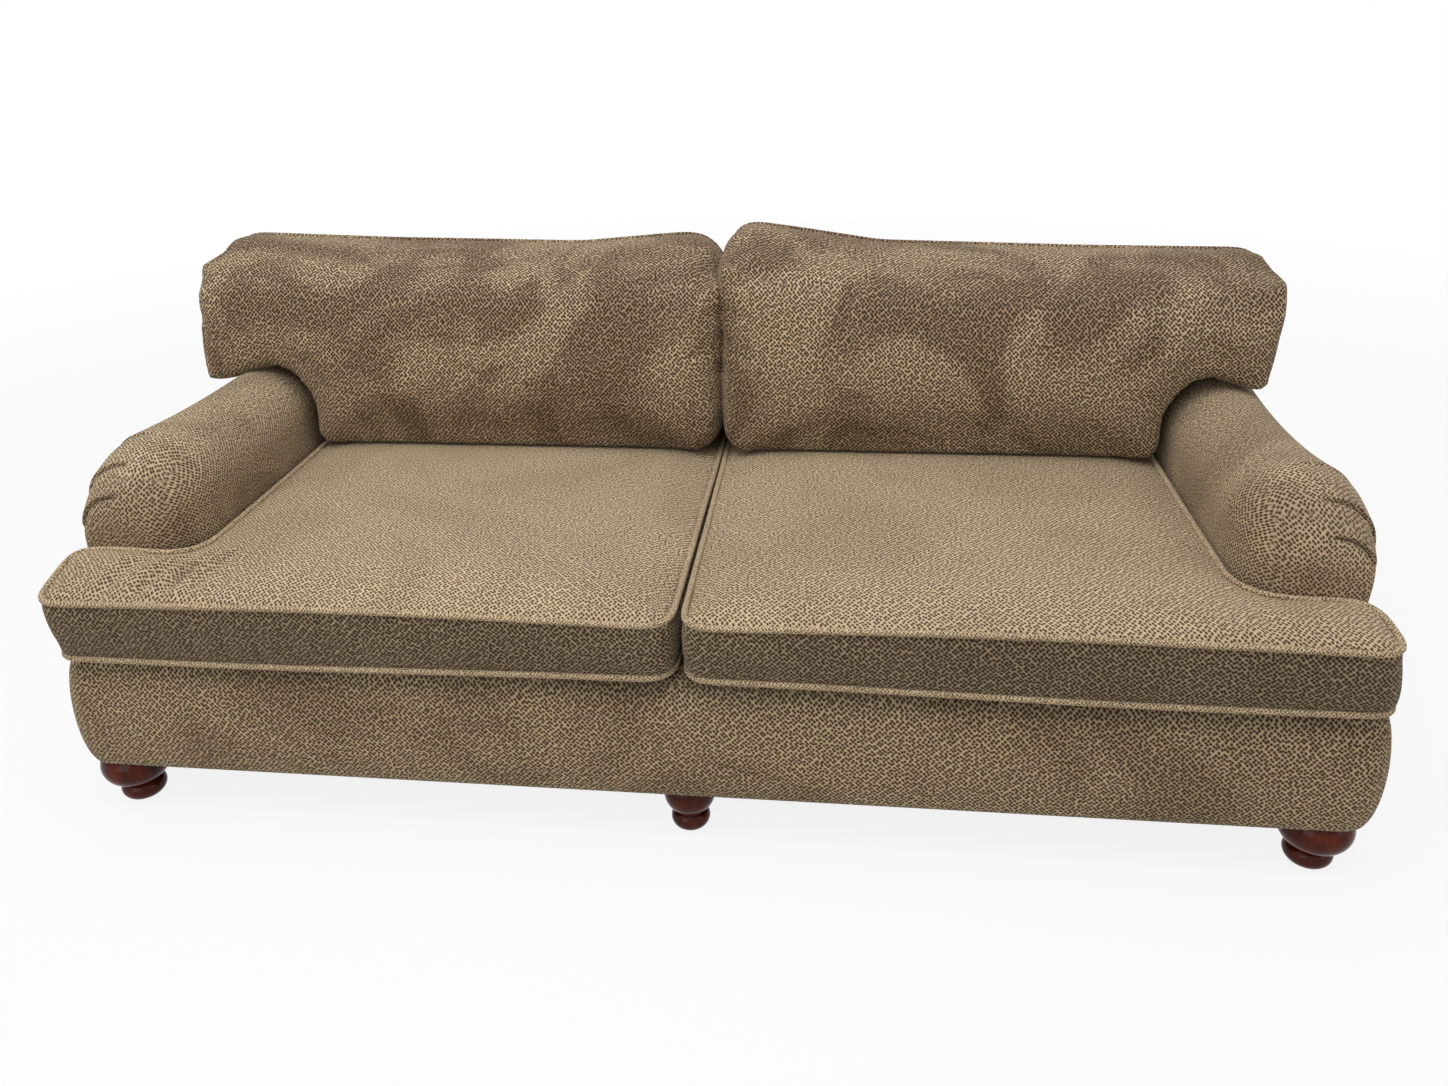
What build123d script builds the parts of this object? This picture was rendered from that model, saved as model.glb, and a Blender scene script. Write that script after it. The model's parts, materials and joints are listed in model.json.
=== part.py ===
"""Two-cushion sofa with rolled arms, loose T-shaped seat and back cushions and turned bun feet.

Millimetres. The origin is on the floor under the middle of the sofa, +Z is up, +X runs to the sitter's
left, which is the right-hand side seen from the front, and the front faces -Y.
"""

import os
from math import cos, radians, sin, tan

from build123d import *

# Overall sizes
overall_width = 2250.0
overall_depth = 1000.0
foot_height = 106.0
base_height = 232.0

# Upholstery of the base
border_setback = 12.0
border_padding = 33.0
border_side_padding = 25.0
border_corner_radius = 55.0
border_wrap = 158.0
border_tuck = 14.0
cover_thickness = 3.0
cover_return = 88.0
deck_thickness = 16.0
deck_lap = 5.0

# Timber frame
rail_thickness = 32.0
plate_thickness = 20.0
plate_reach = 130.0
center_plate_width = 140.0
stretcher_width = 40.0
stretcher_height = 100.0
stretcher_spacing = 540.0
spring_rise = 22.0
edge_roll_width = 12.0
arm_lower_rail_width = 60.0
arm_post_length = 80.0
arm_post_width = 40.0
arm_rail_width = 95.0
arm_rail_thickness = 25.0
back_post_width = 40.0
back_post_depth = 50.0
center_post_width = 44.0
top_rail_height = 55.0
beam_depth = 95.0
beam_rise = 45.0

# Springs and webbing
spring_count = 10
spring_spacing = 165.0
spring_bars = 20
spring_bar_length = 52.0
wire_radius = 2.0
clip_width = 30.0
clip_depth = 14.0
clip_foot = 16.0
strap_count = 8
strap_spacing = 205.0
strap_width = 50.0
strap_thickness = 2.0
strap_tab = 38.0

# Arms
arm_setback = 157.0
arm_width = 209.0
arm_rear_height = 642.0
arm_front_height = 636.0
arm_roll_radius = 98.0
arm_nose_length = 138.0
arm_nose_inner = 70.0
arm_nose_outer = 22.0
arm_nose_drop = 130.0
arm_side_padding = 34.0
arm_top_padding = 66.0
arm_nose_padding = 60.0
panel_thickness = 12.0
panel_height = 515.0
panel_front_setback = 81.0

# Back
back_lean = 9.0
inside_back_depth = 128.0
inside_back_height = 805.0
inside_back_wall = 10.0
back_wing_depth = 62.0
outside_back_thickness = 10.0

# Seat cushions
seat_end_inset = 45.0
seat_arm_gap = 11.0
seat_front_gap = 6.0
seat_rear_gap = 6.0
seat_ear_gap = 12.0
seat_boxing = 106.0
seat_crown = 22.0
seat_corner_radius = 32.0
seat_notch_radius = 76.0
cushion_gap = 10.0
welt_radius = 3.5
zipper_length = 700.0
zipper_width = 24.0
zipper_thickness = 3.0
zipper_slider = 12.0
zipper_stand_off = 3.75

# Back cushions
back_top_height = 884.0
back_thickness = 275.0
back_end_inset = 23.0
back_arm_gap = 15.0
back_ear_gap = 9.0
back_corner_radius = 46.0
back_notch_radius = 106.0
back_welt_depth = 34.0

# Feet
foot_inset = 61.0
rear_foot_inset = 76.0
foot_front_inset = 68.0
foot_rear_inset = 70.0
bun_radius = 60.0
bun_height = 66.0
small_bun_radius = 46.0
pad_radius = 40.0
small_pad_radius = 35.0
groove_height = 4.0
groove_depth = 9.0
glide_radius = 22.0
glide_thickness = 3.0
bolt_radius = 4.0
bolt_length = 62.0
bolt_grip = 20.0
insert_radius = 7.0
insert_length = 18.0

# Clearances
soft_clearance = 0.3
fill_clearance = 0.8
thread_clearance = 0.1
rest_gap = 0.5

# Levels above the floor
z_base = foot_height
z_deck = z_base + base_height
z_deck_low = z_deck - deck_thickness
z_rail = z_deck_low - spring_rise
z_plate = z_base + cover_thickness
z_rail_low = z_plate + plate_thickness
z_seat_low = z_deck + soft_clearance
z_welt_low = z_seat_low + 2 * welt_radius
z_welt_top = z_welt_low + seat_boxing
z_seat_top = z_welt_top + seat_crown
z_back_low = z_seat_top + 2 * rest_gap

# Places from front to back
y_front = -overall_depth / 2
y_rear = overall_depth / 2
y_border = y_front + border_setback
y_border_end = y_border + border_wrap
y_rail = y_border + border_padding
y_rail_inner = y_rail + rail_thickness
y_edge_roll = y_rail + edge_roll_width
y_deck = y_edge_roll - deck_lap
y_frame_rear = y_rear - outside_back_thickness
inside_back_seat = y_rear - inside_back_depth
y_back_rail = y_frame_rear - rail_thickness
y_beam = y_frame_rear - beam_depth
y_wing = y_frame_rear - back_wing_depth
y_post = y_frame_rear - back_post_depth
y_arm_front = y_front + arm_setback
y_arm_nose = y_arm_front + arm_nose_length
y_arm_cavity = y_arm_front + arm_nose_padding
y_panel_front = y_arm_front + panel_front_setback

# Places from the middle to the side
x_half = overall_width / 2
x_rail = x_half - border_side_padding
x_rail_inner = x_rail - rail_thickness
x_arm_outer = x_rail + panel_thickness
x_arm_inner = x_arm_outer - arm_width
seat_half_width = x_half - seat_end_inset
seat_body_half = x_arm_inner - seat_arm_gap
back_half_width = x_half - back_end_inset
back_body_half = x_arm_inner - back_arm_gap
x_cavity_inner = x_arm_inner + arm_side_padding
x_cavity_outer = x_rail - arm_post_width / 3
x_foot = x_half - foot_inset
x_rear_foot = x_half - rear_foot_inset
y_foot_front = y_front + foot_front_inset
y_foot_rear = y_rear - foot_rear_inset
x_post_outer = x_rail - 2 * inside_back_wall

lean = radians(back_lean)
left, right = -1, 1
sides = ((left, "left"), (right, "right"))
foot_places = {
    "front_left": (-x_foot, y_foot_front),
    "front_center": (0, y_foot_front),
    "front_right": (x_foot, y_foot_front),
    "rear_left": (-x_rear_foot, y_foot_rear),
    "rear_center": (0, y_foot_rear),
    "rear_right": (x_rear_foot, y_foot_rear),
}


def lining_y(z):
    """Front face of the inside back at height z."""
    return inside_back_seat + (z - z_deck) * tan(lean)


def save(piece, name):
    """Label a finished piece and write it as one node."""
    piece.label = name
    export_step(piece, f"parts/{name}.step")


def board(x_low, x_high, y_low, y_high, z_low, z_high):
    """A square-edged board between two corners."""
    with BuildPart() as plank:
        with BuildSketch(Plane.XY.offset(z_low)):
            with Locations(((x_low + x_high) / 2, (y_low + y_high) / 2)):
                Rectangle(abs(x_high - x_low), y_high - y_low)
        extrude(amount=z_high - z_low)
    return plank.part


def side_board(side, x_low, x_high, y_low, y_high, z_low, z_high):
    """A board on one side, given by its distances from the middle."""
    return board(*sorted((side * x_low, side * x_high)), y_low, y_high, z_low, z_high)


def side_profile(x_low, x_high, points):
    """A profile in the YZ plane, carried from x_low to x_high."""
    with BuildPart() as slab:
        with BuildSketch(Plane.YZ.offset(x_low)):
            with BuildLine():
                Polyline(*points, close=True)
            make_face()
        extrude(amount=x_high - x_low)
    return slab.part


def feet_group(make_solid):
    """The same small solid at every foot, as one node."""
    return Compound(children=[make_solid(place) for place in foot_places.values()])


# Base frame
def make_front_rail():
    save(board(-x_rail, x_rail, y_rail, y_rail_inner, z_rail_low, z_rail), "front_rail")


def make_back_rail():
    save(board(-x_rail, x_rail, y_back_rail, y_frame_rear, z_rail_low, z_rail), "back_rail")


def make_side_rail(side, name):
    rail = side_board(side, x_rail_inner, x_rail, y_rail_inner, y_back_rail, z_rail_low, z_rail)
    save(rail, f"{name}_side_rail")


def make_cross_stretchers():
    with BuildPart() as stretchers:
        with BuildSketch(Plane.XY.offset(z_rail_low)):
            with Locations((0, (y_rail_inner + y_back_rail) / 2)):
                with GridLocations(stretcher_spacing, 0, 3, 1):
                    Rectangle(stretcher_width, y_back_rail - y_rail_inner)
        extrude(amount=stretcher_height)
    save(stretchers.part, "cross_stretchers")


def corner_plate(side, y_outer, y_inward):
    """A plate across one corner of the base, with a bore for the foot's insert."""
    x_cut = x_rail - plate_reach
    y_cut = y_outer + y_inward * plate_reach
    place = (x_foot, y_foot_front) if y_inward > 0 else (x_rear_foot, y_foot_rear)
    with BuildPart() as plate:
        with BuildSketch(Plane.XY.offset(z_plate)):
            with BuildLine():
                Polyline(
                    (side * x_rail, y_outer),
                    (side * x_cut, y_outer),
                    (side * x_cut, (y_outer + y_cut) / 2),
                    (side * (x_rail + x_cut) / 2, y_cut),
                    (side * x_rail, y_cut),
                    close=True,
                )
            make_face()
            with Locations((side * place[0], place[1])):
                Circle(insert_radius, mode=Mode.SUBTRACT)
        extrude(amount=plate_thickness)
    return plate.part


def make_corner_plates():
    plates = [
        corner_plate(side, y_outer, inward)
        for side in (left, right)
        for y_outer, inward in ((y_rail, 1), (y_frame_rear, -1))
    ]
    save(Compound(children=plates), "corner_plates")


def make_center_plates():
    plates = []
    for y_outer, inward, foot_y in ((y_rail, 1, y_foot_front), (y_frame_rear, -1, y_foot_rear)):
        with BuildPart() as plate:
            with BuildSketch(Plane.XY.offset(z_plate)):
                with Locations((0, y_outer + inward * plate_reach / 2)):
                    Rectangle(center_plate_width, plate_reach)
                with Locations((0, foot_y)):
                    Circle(insert_radius, mode=Mode.SUBTRACT)
            extrude(amount=plate_thickness)
        plates.append(plate.part)
    save(Compound(children=plates), "center_plates")


def make_front_edge_roll():
    reach = x_cavity_inner - arm_lower_rail_width
    save(board(-reach, reach, y_rail, y_edge_roll, z_rail, z_deck_low), "front_edge_roll")


# Arm frames
def make_arm_frame(side, name):
    x_low = x_cavity_inner - arm_lower_rail_width
    lower = side_board(side, x_low, x_cavity_inner, y_rail, y_beam, z_rail, z_deck_low)
    save(lower, f"{name}_arm_lower_rail")

    z_arm_rail = arm_front_height - arm_top_padding
    z_post = z_arm_rail - arm_rail_thickness
    x_post = x_cavity_outer - arm_post_width
    y_post_rear = y_arm_cavity + arm_post_length
    post = side_board(side, x_post, x_cavity_outer, y_arm_cavity, y_post_rear, z_rail, z_post)
    save(post, f"{name}_arm_post")

    x_arm_rail = x_cavity_outer - arm_rail_width
    rail = side_board(side, x_arm_rail, x_cavity_outer, y_arm_cavity, y_post, z_post, z_arm_rail)
    save(rail, f"{name}_arm_rail")


# Back frame
z_top_rail = inside_back_height - inside_back_wall - rest_gap
y_top_rail = lining_y(z_top_rail) + inside_back_wall / cos(lean) + strap_thickness + rest_gap
z_beam = z_rail + beam_rise


def make_back_posts():
    wall = inside_back_wall / cos(lean)
    z_bend = z_deck + (y_post - wall - inside_back_seat) / tan(lean)
    profile = (
        (y_post, z_rail),
        (y_post, z_bend),
        (lining_y(z_top_rail) + wall, z_top_rail),
        (y_frame_rear, z_top_rail),
        (y_frame_rear, z_rail),
    )
    for side, name in sides:
        x_ends = sorted((side * x_post_outer, side * (x_post_outer - back_post_width)))
        save(side_profile(*x_ends, profile), f"{name}_back_post")


def make_back_rails():
    reach = x_post_outer - back_post_width
    z_low = z_top_rail - top_rail_height
    save(board(-reach, reach, y_top_rail, y_frame_rear, z_low, z_top_rail), "top_back_rail")

    beam_reach = x_arm_inner - 2 * inside_back_wall
    save(board(-beam_reach, beam_reach, y_beam, y_frame_rear, z_rail, z_beam), "back_seat_beam")

    half = center_post_width / 2
    save(board(-half, half, y_top_rail, y_frame_rear, z_beam, z_low), "center_back_post")


# Springs and webbing
z_wire = z_deck_low - soft_clearance - wire_radius
y_spring_front = y_edge_roll + clip_depth / 2 + rest_gap
y_spring_rear = y_beam - clip_depth / 2


def make_seat_springs():
    pitch = (y_spring_rear - y_spring_front) / (spring_bars - 1)
    half_bar = spring_bar_length / 2
    with BuildPart() as springs:
        for index in range(spring_count):
            x_mid = (index - (spring_count - 1) / 2) * spring_spacing
            with BuildLine(Plane.XY.offset(z_wire)) as zigzag:
                for bar in range(spring_bars):
                    y_bar = y_spring_front + bar * pitch
                    turn = 1 if bar % 2 == 0 else -1
                    start = (x_mid - turn * half_bar, y_bar)
                    end = (x_mid + turn * half_bar, y_bar)
                    Line(start, end)
                    if bar < spring_bars - 1:
                        bulge = (end[0] + turn * pitch / 2, y_bar + pitch / 2)
                        ThreePointArc(end, bulge, (end[0], y_bar + pitch))
            wire = zigzag.wires()[0]
            with BuildSketch(Plane(origin=wire @ 0, z_dir=wire % 0)):
                Circle(wire_radius)
            sweep(path=wire)
    save(springs.part, "seat_springs")


def spring_clips(y_mid, z_foot):
    """Open-topped clips that hold the end bar of each spring."""
    slot = wire_radius + soft_clearance
    z_top = z_wire + wire_radius / 2
    with BuildPart() as clips:
        with BuildSketch(Plane.XY.offset(z_foot)):
            with Locations((0, y_mid)):
                with GridLocations(spring_spacing, 0, spring_count, 1):
                    Rectangle(clip_width, clip_depth)
        extrude(amount=z_top - z_foot)
        with BuildSketch(Plane.XY.offset(z_wire - slot)):
            with Locations((0, y_mid)):
                Rectangle(2 * x_rail, 2 * slot)
        extrude(amount=2 * slot, mode=Mode.SUBTRACT)
    return clips.part


def make_spring_clips():
    save(spring_clips(y_spring_front, z_rail), "front_spring_clips")
    save(spring_clips(y_spring_rear, z_wire - clip_foot), "rear_spring_clips")


def make_back_webbing():
    y_high = y_top_rail - strap_thickness
    z_low = z_beam + strap_thickness
    z_rail_foot = z_top_rail - top_rail_height
    profile = (
        (y_beam, z_beam),
        (y_beam + strap_tab, z_beam),
        (y_beam + strap_tab, z_low),
        (y_beam + strap_thickness, z_low),
        (y_top_rail, z_rail_foot),
        (y_top_rail, z_rail_foot + strap_tab),
        (y_high, z_rail_foot + strap_tab),
        (y_high, z_rail_foot),
    )
    straps = []
    for index in range(strap_count):
        x_mid = (index - (strap_count - 1) / 2) * strap_spacing
        straps.append(side_profile(x_mid - strap_width / 2, x_mid + strap_width / 2, profile))
    save(Compound(children=straps), "back_webbing")


# Base upholstery
def make_seat_deck():
    reach = x_arm_inner - soft_clearance
    y_front_strip = y_arm_front - soft_clearance
    with BuildPart() as deck:
        with BuildSketch(Plane.XY.offset(z_deck_low)):
            with BuildLine():
                Polyline(
                    (-x_rail, y_deck),
                    (x_rail, y_deck),
                    (x_rail, y_front_strip),
                    (reach, y_front_strip),
                    (reach, y_beam),
                    (-reach, y_beam),
                    (-reach, y_front_strip),
                    (-x_rail, y_front_strip),
                    close=True,
                )
            make_face()
        extrude(amount=deck_thickness)
    save(deck.part, "seat_deck")


def border_form(shrink):
    """The front border as a barrel-sided band that wraps both front corners."""
    z_low = z_base + shrink
    z_high = z_deck - shrink
    swell = ((0.0, 1.0), (0.3, 0.2), (0.6, 0.0), (0.88, 0.35), (1.0, 1.0))
    with BuildPart() as band:
        for share, tuck in swell:
            inset = shrink + tuck * border_tuck
            x_edge = x_half - inset
            radius = border_corner_radius - inset
            with BuildSketch(Plane.XY.offset(z_low + share * (z_high - z_low))):
                with BuildLine():
                    FilletPolyline(
                        (-x_edge, y_border_end),
                        (-x_edge, y_border + inset),
                        (x_edge, y_border + inset),
                        (x_edge, y_border_end),
                        radius=(0, radius, radius, 0),
                        close=True,
                    )
                make_face()
        loft()
    return band.part


def make_front_border():
    inner = border_form(cover_thickness)
    with BuildPart() as cover:
        add(border_form(0))
        add(inner, mode=Mode.SUBTRACT)
        with BuildSketch(Plane.XY.offset(z_base)):
            with Locations((0, y_border + cover_return)):
                Rectangle(2 * x_rail, border_wrap, align=(Align.CENTER, Align.MIN))
            with Locations(*(foot_places[place] for place in foot_places)):
                Circle(bolt_radius + thread_clearance)
        extrude(amount=plate_thickness, mode=Mode.SUBTRACT)
        with BuildSketch(Plane.XY.offset(z_deck_low)):
            with Locations((0, y_deck)):
                Rectangle(2 * x_rail, border_wrap, align=(Align.CENTER, Align.MIN))
        extrude(amount=2 * deck_thickness, mode=Mode.SUBTRACT)
    save(cover.part, "front_border_cover")

    with BuildPart() as padding:
        add(inner)
        with BuildSketch(Plane.XY.offset(z_base)):
            with Locations((0, y_rail)):
                Rectangle(2 * x_rail, border_wrap, align=(Align.CENTER, Align.MIN))
        extrude(amount=z_deck_low - z_base, mode=Mode.SUBTRACT)
        with BuildSketch(Plane.XY.offset(z_deck_low)):
            with Locations((0, y_deck)):
                Rectangle(2 * x_rail, border_wrap, align=(Align.CENTER, Align.MIN))
        extrude(amount=2 * deck_thickness, mode=Mode.SUBTRACT)
    save(padding.part, "front_border_padding")


def make_dust_cover():
    y_low = y_border + cover_return
    with BuildPart() as cloth:
        with BuildSketch(Plane.XY.offset(z_base)):
            with Locations((0, (y_low + y_frame_rear) / 2)):
                Rectangle(2 * x_rail, y_frame_rear - y_low)
            with Locations(*(foot_places[place] for place in foot_places if "rear" in place)):
                Circle(bolt_radius + thread_clearance, mode=Mode.SUBTRACT)
        extrude(amount=cover_thickness)
    save(cloth.part, "dust_cover")


# Arms
def arm_section(side, y_place, inner, outer, height, radius):
    """One slice across an arm: straight sides under a round top."""
    points = (
        (side * inner, z_deck_low),
        (side * inner, height),
        (side * outer, height),
        (side * outer, z_deck_low),
    )
    with BuildSketch(Plane.XZ.offset(-y_place)) as slice_across:
        with BuildLine():
            FilletPolyline(*points, radius=(0, radius, radius, 0), close=True)
        make_face()
    return slice_across.sketch


def arm_form(side, shrink):
    """An arm: a round-topped bolster that rolls over into a domed nose at the front."""
    inner = x_arm_inner + shrink
    outer = x_arm_outer - shrink
    radius = arm_roll_radius - shrink
    front_height = arm_front_height - shrink
    nose = arm_nose_length - shrink
    with BuildPart() as bolster:
        slices = [
            arm_section(side, y_wing, inner, outer, arm_rear_height - shrink, radius),
            arm_section(side, y_arm_nose, inner, outer, front_height, radius),
        ]
        loft(slices, ruled=True)
        slices = []
        for turn in (0, 28, 52, 72, 90):
            fall = 1 - cos(radians(turn))
            slices.append(
                arm_section(
                    side,
                    y_arm_nose - nose * sin(radians(turn)),
                    inner + fall * arm_nose_inner,
                    outer - fall * arm_nose_outer,
                    front_height - fall * arm_nose_drop,
                    radius * (1 - 0.5 * fall),
                )
            )
        loft(slices)
    return bolster.part


def make_arm(side, name):
    skin_inner = arm_form(side, cover_thickness)
    z_cavity = arm_front_height - arm_top_padding
    recess = side_board(side, x_rail, x_half, y_panel_front, y_rear, z_base, panel_height)
    cavity = side_board(
        side, x_cavity_inner, x_cavity_outer, y_arm_cavity, y_rear, z_base, z_cavity
    )
    with BuildPart() as cover:
        add(arm_form(side, 0))
        add(skin_inner, mode=Mode.SUBTRACT)
        add(recess, mode=Mode.SUBTRACT)
    save(cover.part, f"{name}_arm_cover")

    with BuildPart() as padding:
        add(skin_inner)
        add(recess, mode=Mode.SUBTRACT)
        add(cavity, mode=Mode.SUBTRACT)
    save(padding.part, f"{name}_arm_padding")


def make_outside_arm(side, name):
    profile = (
        (y_border_end, z_base),
        (y_frame_rear, z_base),
        (y_frame_rear, z_deck),
        (y_wing, z_deck),
        (y_wing, panel_height),
        (y_panel_front, panel_height),
        (y_panel_front, z_deck_low),
        (y_border_end, z_deck_low),
    )
    x_ends = sorted((side * x_rail, side * x_arm_outer))
    save(side_profile(*x_ends, profile), f"{name}_outside_arm")


# Back upholstery
def make_inside_back():
    wall = inside_back_wall / cos(lean)
    z_cavity = inside_back_height - inside_back_wall
    z_bend = z_deck + (y_wing - inside_back_seat) / tan(lean)
    z_cavity_bend = z_deck + (y_post - wall - inside_back_seat) / tan(lean)
    middle = (
        (inside_back_seat, z_deck),
        (lining_y(inside_back_height), inside_back_height),
        (y_frame_rear, inside_back_height),
        (y_frame_rear, z_deck),
    )
    wings = (
        (y_wing, z_deck),
        (y_wing, z_bend),
        (lining_y(inside_back_height), inside_back_height),
        (y_frame_rear, inside_back_height),
        (y_frame_rear, z_deck),
    )
    middle_cavity = (
        (inside_back_seat + wall, z_deck),
        (lining_y(z_cavity) + wall, z_cavity),
        (y_frame_rear, z_cavity),
        (y_frame_rear, z_deck),
    )
    wings_cavity = (
        (y_post, z_deck),
        (y_post, z_cavity_bend),
        (lining_y(z_cavity) + wall, z_cavity),
        (y_frame_rear, z_cavity),
        (y_frame_rear, z_deck),
    )
    x_middle = x_arm_inner - soft_clearance
    x_wing_cavity = x_rail - inside_back_wall
    z_arm_rail = arm_front_height - arm_top_padding
    with BuildPart() as lining:
        add(side_profile(-x_middle, x_middle, middle))
        add(side_profile(-x_rail, x_rail, wings))
        x_cavity = x_middle - inside_back_wall
        add(side_profile(-x_cavity, x_cavity, middle_cavity), mode=Mode.SUBTRACT)
        add(side_profile(-x_wing_cavity, x_wing_cavity, wings_cavity), mode=Mode.SUBTRACT)
        for side in (left, right):
            window = side_board(
                side,
                x_cavity_outer - arm_rail_width,
                x_cavity_outer,
                y_wing,
                y_post,
                z_arm_rail - arm_rail_thickness,
                z_arm_rail,
            )
            add(window, mode=Mode.SUBTRACT)
    save(lining.part, "inside_back")


def make_outside_back():
    panel = board(-x_rail, x_rail, y_frame_rear, y_rear, z_base, inside_back_height)
    save(panel, "outside_back")


# Seat cushions
y_seat_front = y_front + seat_front_gap
y_seat_rear = inside_back_seat - seat_rear_gap
y_seat_ear = y_arm_front - seat_ear_gap


def seat_outline(side, front, flank, rear, ear):
    """Outline of a seat cushion with its front ear, drawn in by a distance on each side."""
    inner = cushion_gap / 2 + flank
    outer = seat_half_width - flank
    body = seat_body_half - flank
    y_low = y_seat_front + front
    y_ear = y_seat_ear - ear
    y_high = y_seat_rear - rear
    ear_radius = min(seat_corner_radius, 0.42 * (y_ear - y_low))
    ear_width = outer - body - ear_radius
    notch_radius = min(seat_notch_radius + min(flank, seat_corner_radius), 0.9 * ear_width)
    points = (
        (side * inner, y_low),
        (side * outer, y_low),
        (side * outer, y_ear),
        (side * body, y_ear),
        (side * body, y_high),
        (side * inner, y_high),
    )
    corner = seat_corner_radius
    FilletPolyline(
        *points, radius=(ear_radius, ear_radius, ear_radius, notch_radius, corner, corner), close=True
    )


def seat_layers(side, shrink, layers, ruled):
    """A stack of seat outlines, each drawn in by its own distances, skinned into a solid."""
    with BuildPart() as stack:
        for height, front, flank, rear, ear in layers:
            with BuildSketch(Plane.XY.offset(height)):
                with BuildLine():
                    seat_outline(side, front + shrink, flank + shrink, rear + shrink, ear + shrink)
                make_face()
        loft(ruled=ruled)
    return stack.part


def seat_form(side, shrink):
    """Seat cushion: bulging boxing between two drawn-in seams, under a crowned top."""
    z_mid = (z_welt_low + z_welt_top) / 2
    z_seam = z_welt_top - shrink
    crown = seat_crown
    boxing = (
        (z_seat_low + shrink, 12, 12, 12, 12),
        (z_welt_low + shrink, 3, 3, 3, 3),
        (z_mid, -4, -1, -2, -2),
        (z_seam, 3, 3, 3, 3),
    )
    top = (
        (z_seam, 3, 3, 3, 3),
        (z_seam + 0.35 * crown, 12, 12, 14, 11),
        (z_seam + 0.62 * crown, 26, 30, 36, 24),
        (z_seam + 0.82 * crown, 40, 62, 80, 38),
        (z_seam + 0.95 * crown, 50, 110, 170, 46),
        (z_seam + crown, 56, 170, 300, 52),
    )
    with BuildPart() as pillow:
        add(seat_layers(side, shrink, boxing, ruled=False))
        add(seat_layers(side, shrink, top, ruled=True))
    return pillow.part


def welt(plane, draw_outline, radius):
    """A piped cord round a closed outline on a plane."""
    with BuildPart() as cord:
        with BuildLine(plane) as seam:
            draw_outline()
        path = seam.wires()[0]
        with BuildSketch(Plane(origin=path @ 0, z_dir=path % 0)):
            Circle(radius)
        sweep(path=path)
    return cord.part


def make_seat_cushion(side, name):
    with BuildPart() as cover:
        add(seat_form(side, 0))
        add(seat_form(side, cover_thickness), mode=Mode.SUBTRACT)
    save(cover.part, f"{name}_seat_cover")
    save(seat_form(side, cover_thickness + fill_clearance), f"{name}_seat_core")

    def seam():
        seat_outline(side, 0, 0, 0, 0)

    cords = [
        welt(Plane.XY.offset(height), seam, welt_radius) for height in (z_welt_low, z_welt_top)
    ]
    save(Compound(children=cords), f"{name}_seat_welts")

    x_mid = side * (cushion_gap / 2 + seat_body_half) / 2
    z_mid = (z_welt_low + z_welt_top) / 2
    y_tape = y_seat_rear + zipper_stand_off
    with BuildPart() as zipper:
        with BuildSketch(Plane.XZ.offset(-y_tape)):
            with Locations((x_mid, z_mid)):
                Rectangle(zipper_length, zipper_width)
        extrude(amount=-zipper_thickness / 2)
        with BuildSketch(Plane.XZ.offset(-y_tape - zipper_thickness / 2)):
            with Locations((x_mid, z_mid)):
                Rectangle(zipper_length, zipper_width / 4)
            with Locations((x_mid + zipper_length / 2 - zipper_slider, z_mid)):
                Rectangle(zipper_slider, zipper_width / 2)
        extrude(amount=-zipper_thickness / 2)
    save(zipper.part, f"{name}_seat_zipper")


# Back cushions
z_ear = arm_rear_height + back_ear_gap
v_ear = (z_ear - z_back_low) / cos(lean)
v_top = (back_top_height - z_back_low) / cos(lean)
y_back_low = lining_y(z_back_low) - rest_gap / cos(lean)


def back_plane(depth):
    """Plane parallel to the inside back, a depth in front of it."""
    origin = (0, y_back_low - depth * cos(lean), z_back_low + depth * sin(lean))
    return Plane(origin=origin, x_dir=(1, 0, 0), z_dir=(0, -cos(lean), sin(lean)))


def back_outline(side, depth, top, flank, bottom):
    """Outline of a back cushion with its ear, drawn in by a distance on each side."""
    level = -depth * tan(lean)
    inner = cushion_gap / 2 + flank
    outer = back_half_width - flank
    body = back_body_half - flank
    v_low = level + bottom
    v_notch = v_ear + level + bottom
    v_high = v_top + level / 2 - top
    points = (
        (side * inner, v_low),
        (side * body, v_low),
        (side * body, v_notch),
        (side * outer, v_notch),
        (side * outer, v_high),
        (side * inner, v_high),
    )
    corner = min(back_corner_radius, 0.42 * (v_high - v_notch))
    ear_width = outer - body - corner
    notch_radius = min(back_notch_radius + min(flank, back_corner_radius / 2), 0.9 * ear_width)
    FilletPolyline(
        *points, radius=(corner, corner, notch_radius, corner, corner, corner), close=True
    )


def back_form(side, shrink):
    """Back cushion: a pillow that is full at the belly and soft round every edge."""
    belly = back_thickness - shrink
    layers = (
        (shrink, 40, 22, 24),
        (0.14 * belly, 8, 5, 6),
        (0.38 * belly, 4, 0, 0),
        (0.68 * belly, 28, 3, 3),
        (0.88 * belly, 72, 18, 20),
        (belly, 132, 84, 84),
    )
    with BuildPart() as pillow:
        for depth, top, flank, bottom in layers:
            with BuildSketch(back_plane(depth)):
                with BuildLine():
                    back_outline(side, depth, top + shrink, flank + shrink, bottom + shrink)
                make_face()
        loft()
    return pillow.part


def make_back_cushion(side, name):
    with BuildPart() as cover:
        add(back_form(side, 0))
        add(back_form(side, cover_thickness), mode=Mode.SUBTRACT)
    save(cover.part, f"{name}_back_cover")
    save(back_form(side, cover_thickness + fill_clearance), f"{name}_back_fill")

    def seam():
        back_outline(side, back_welt_depth, 5, 3, 3)

    save(welt(back_plane(back_welt_depth), seam, welt_radius), f"{name}_back_welt")


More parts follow.
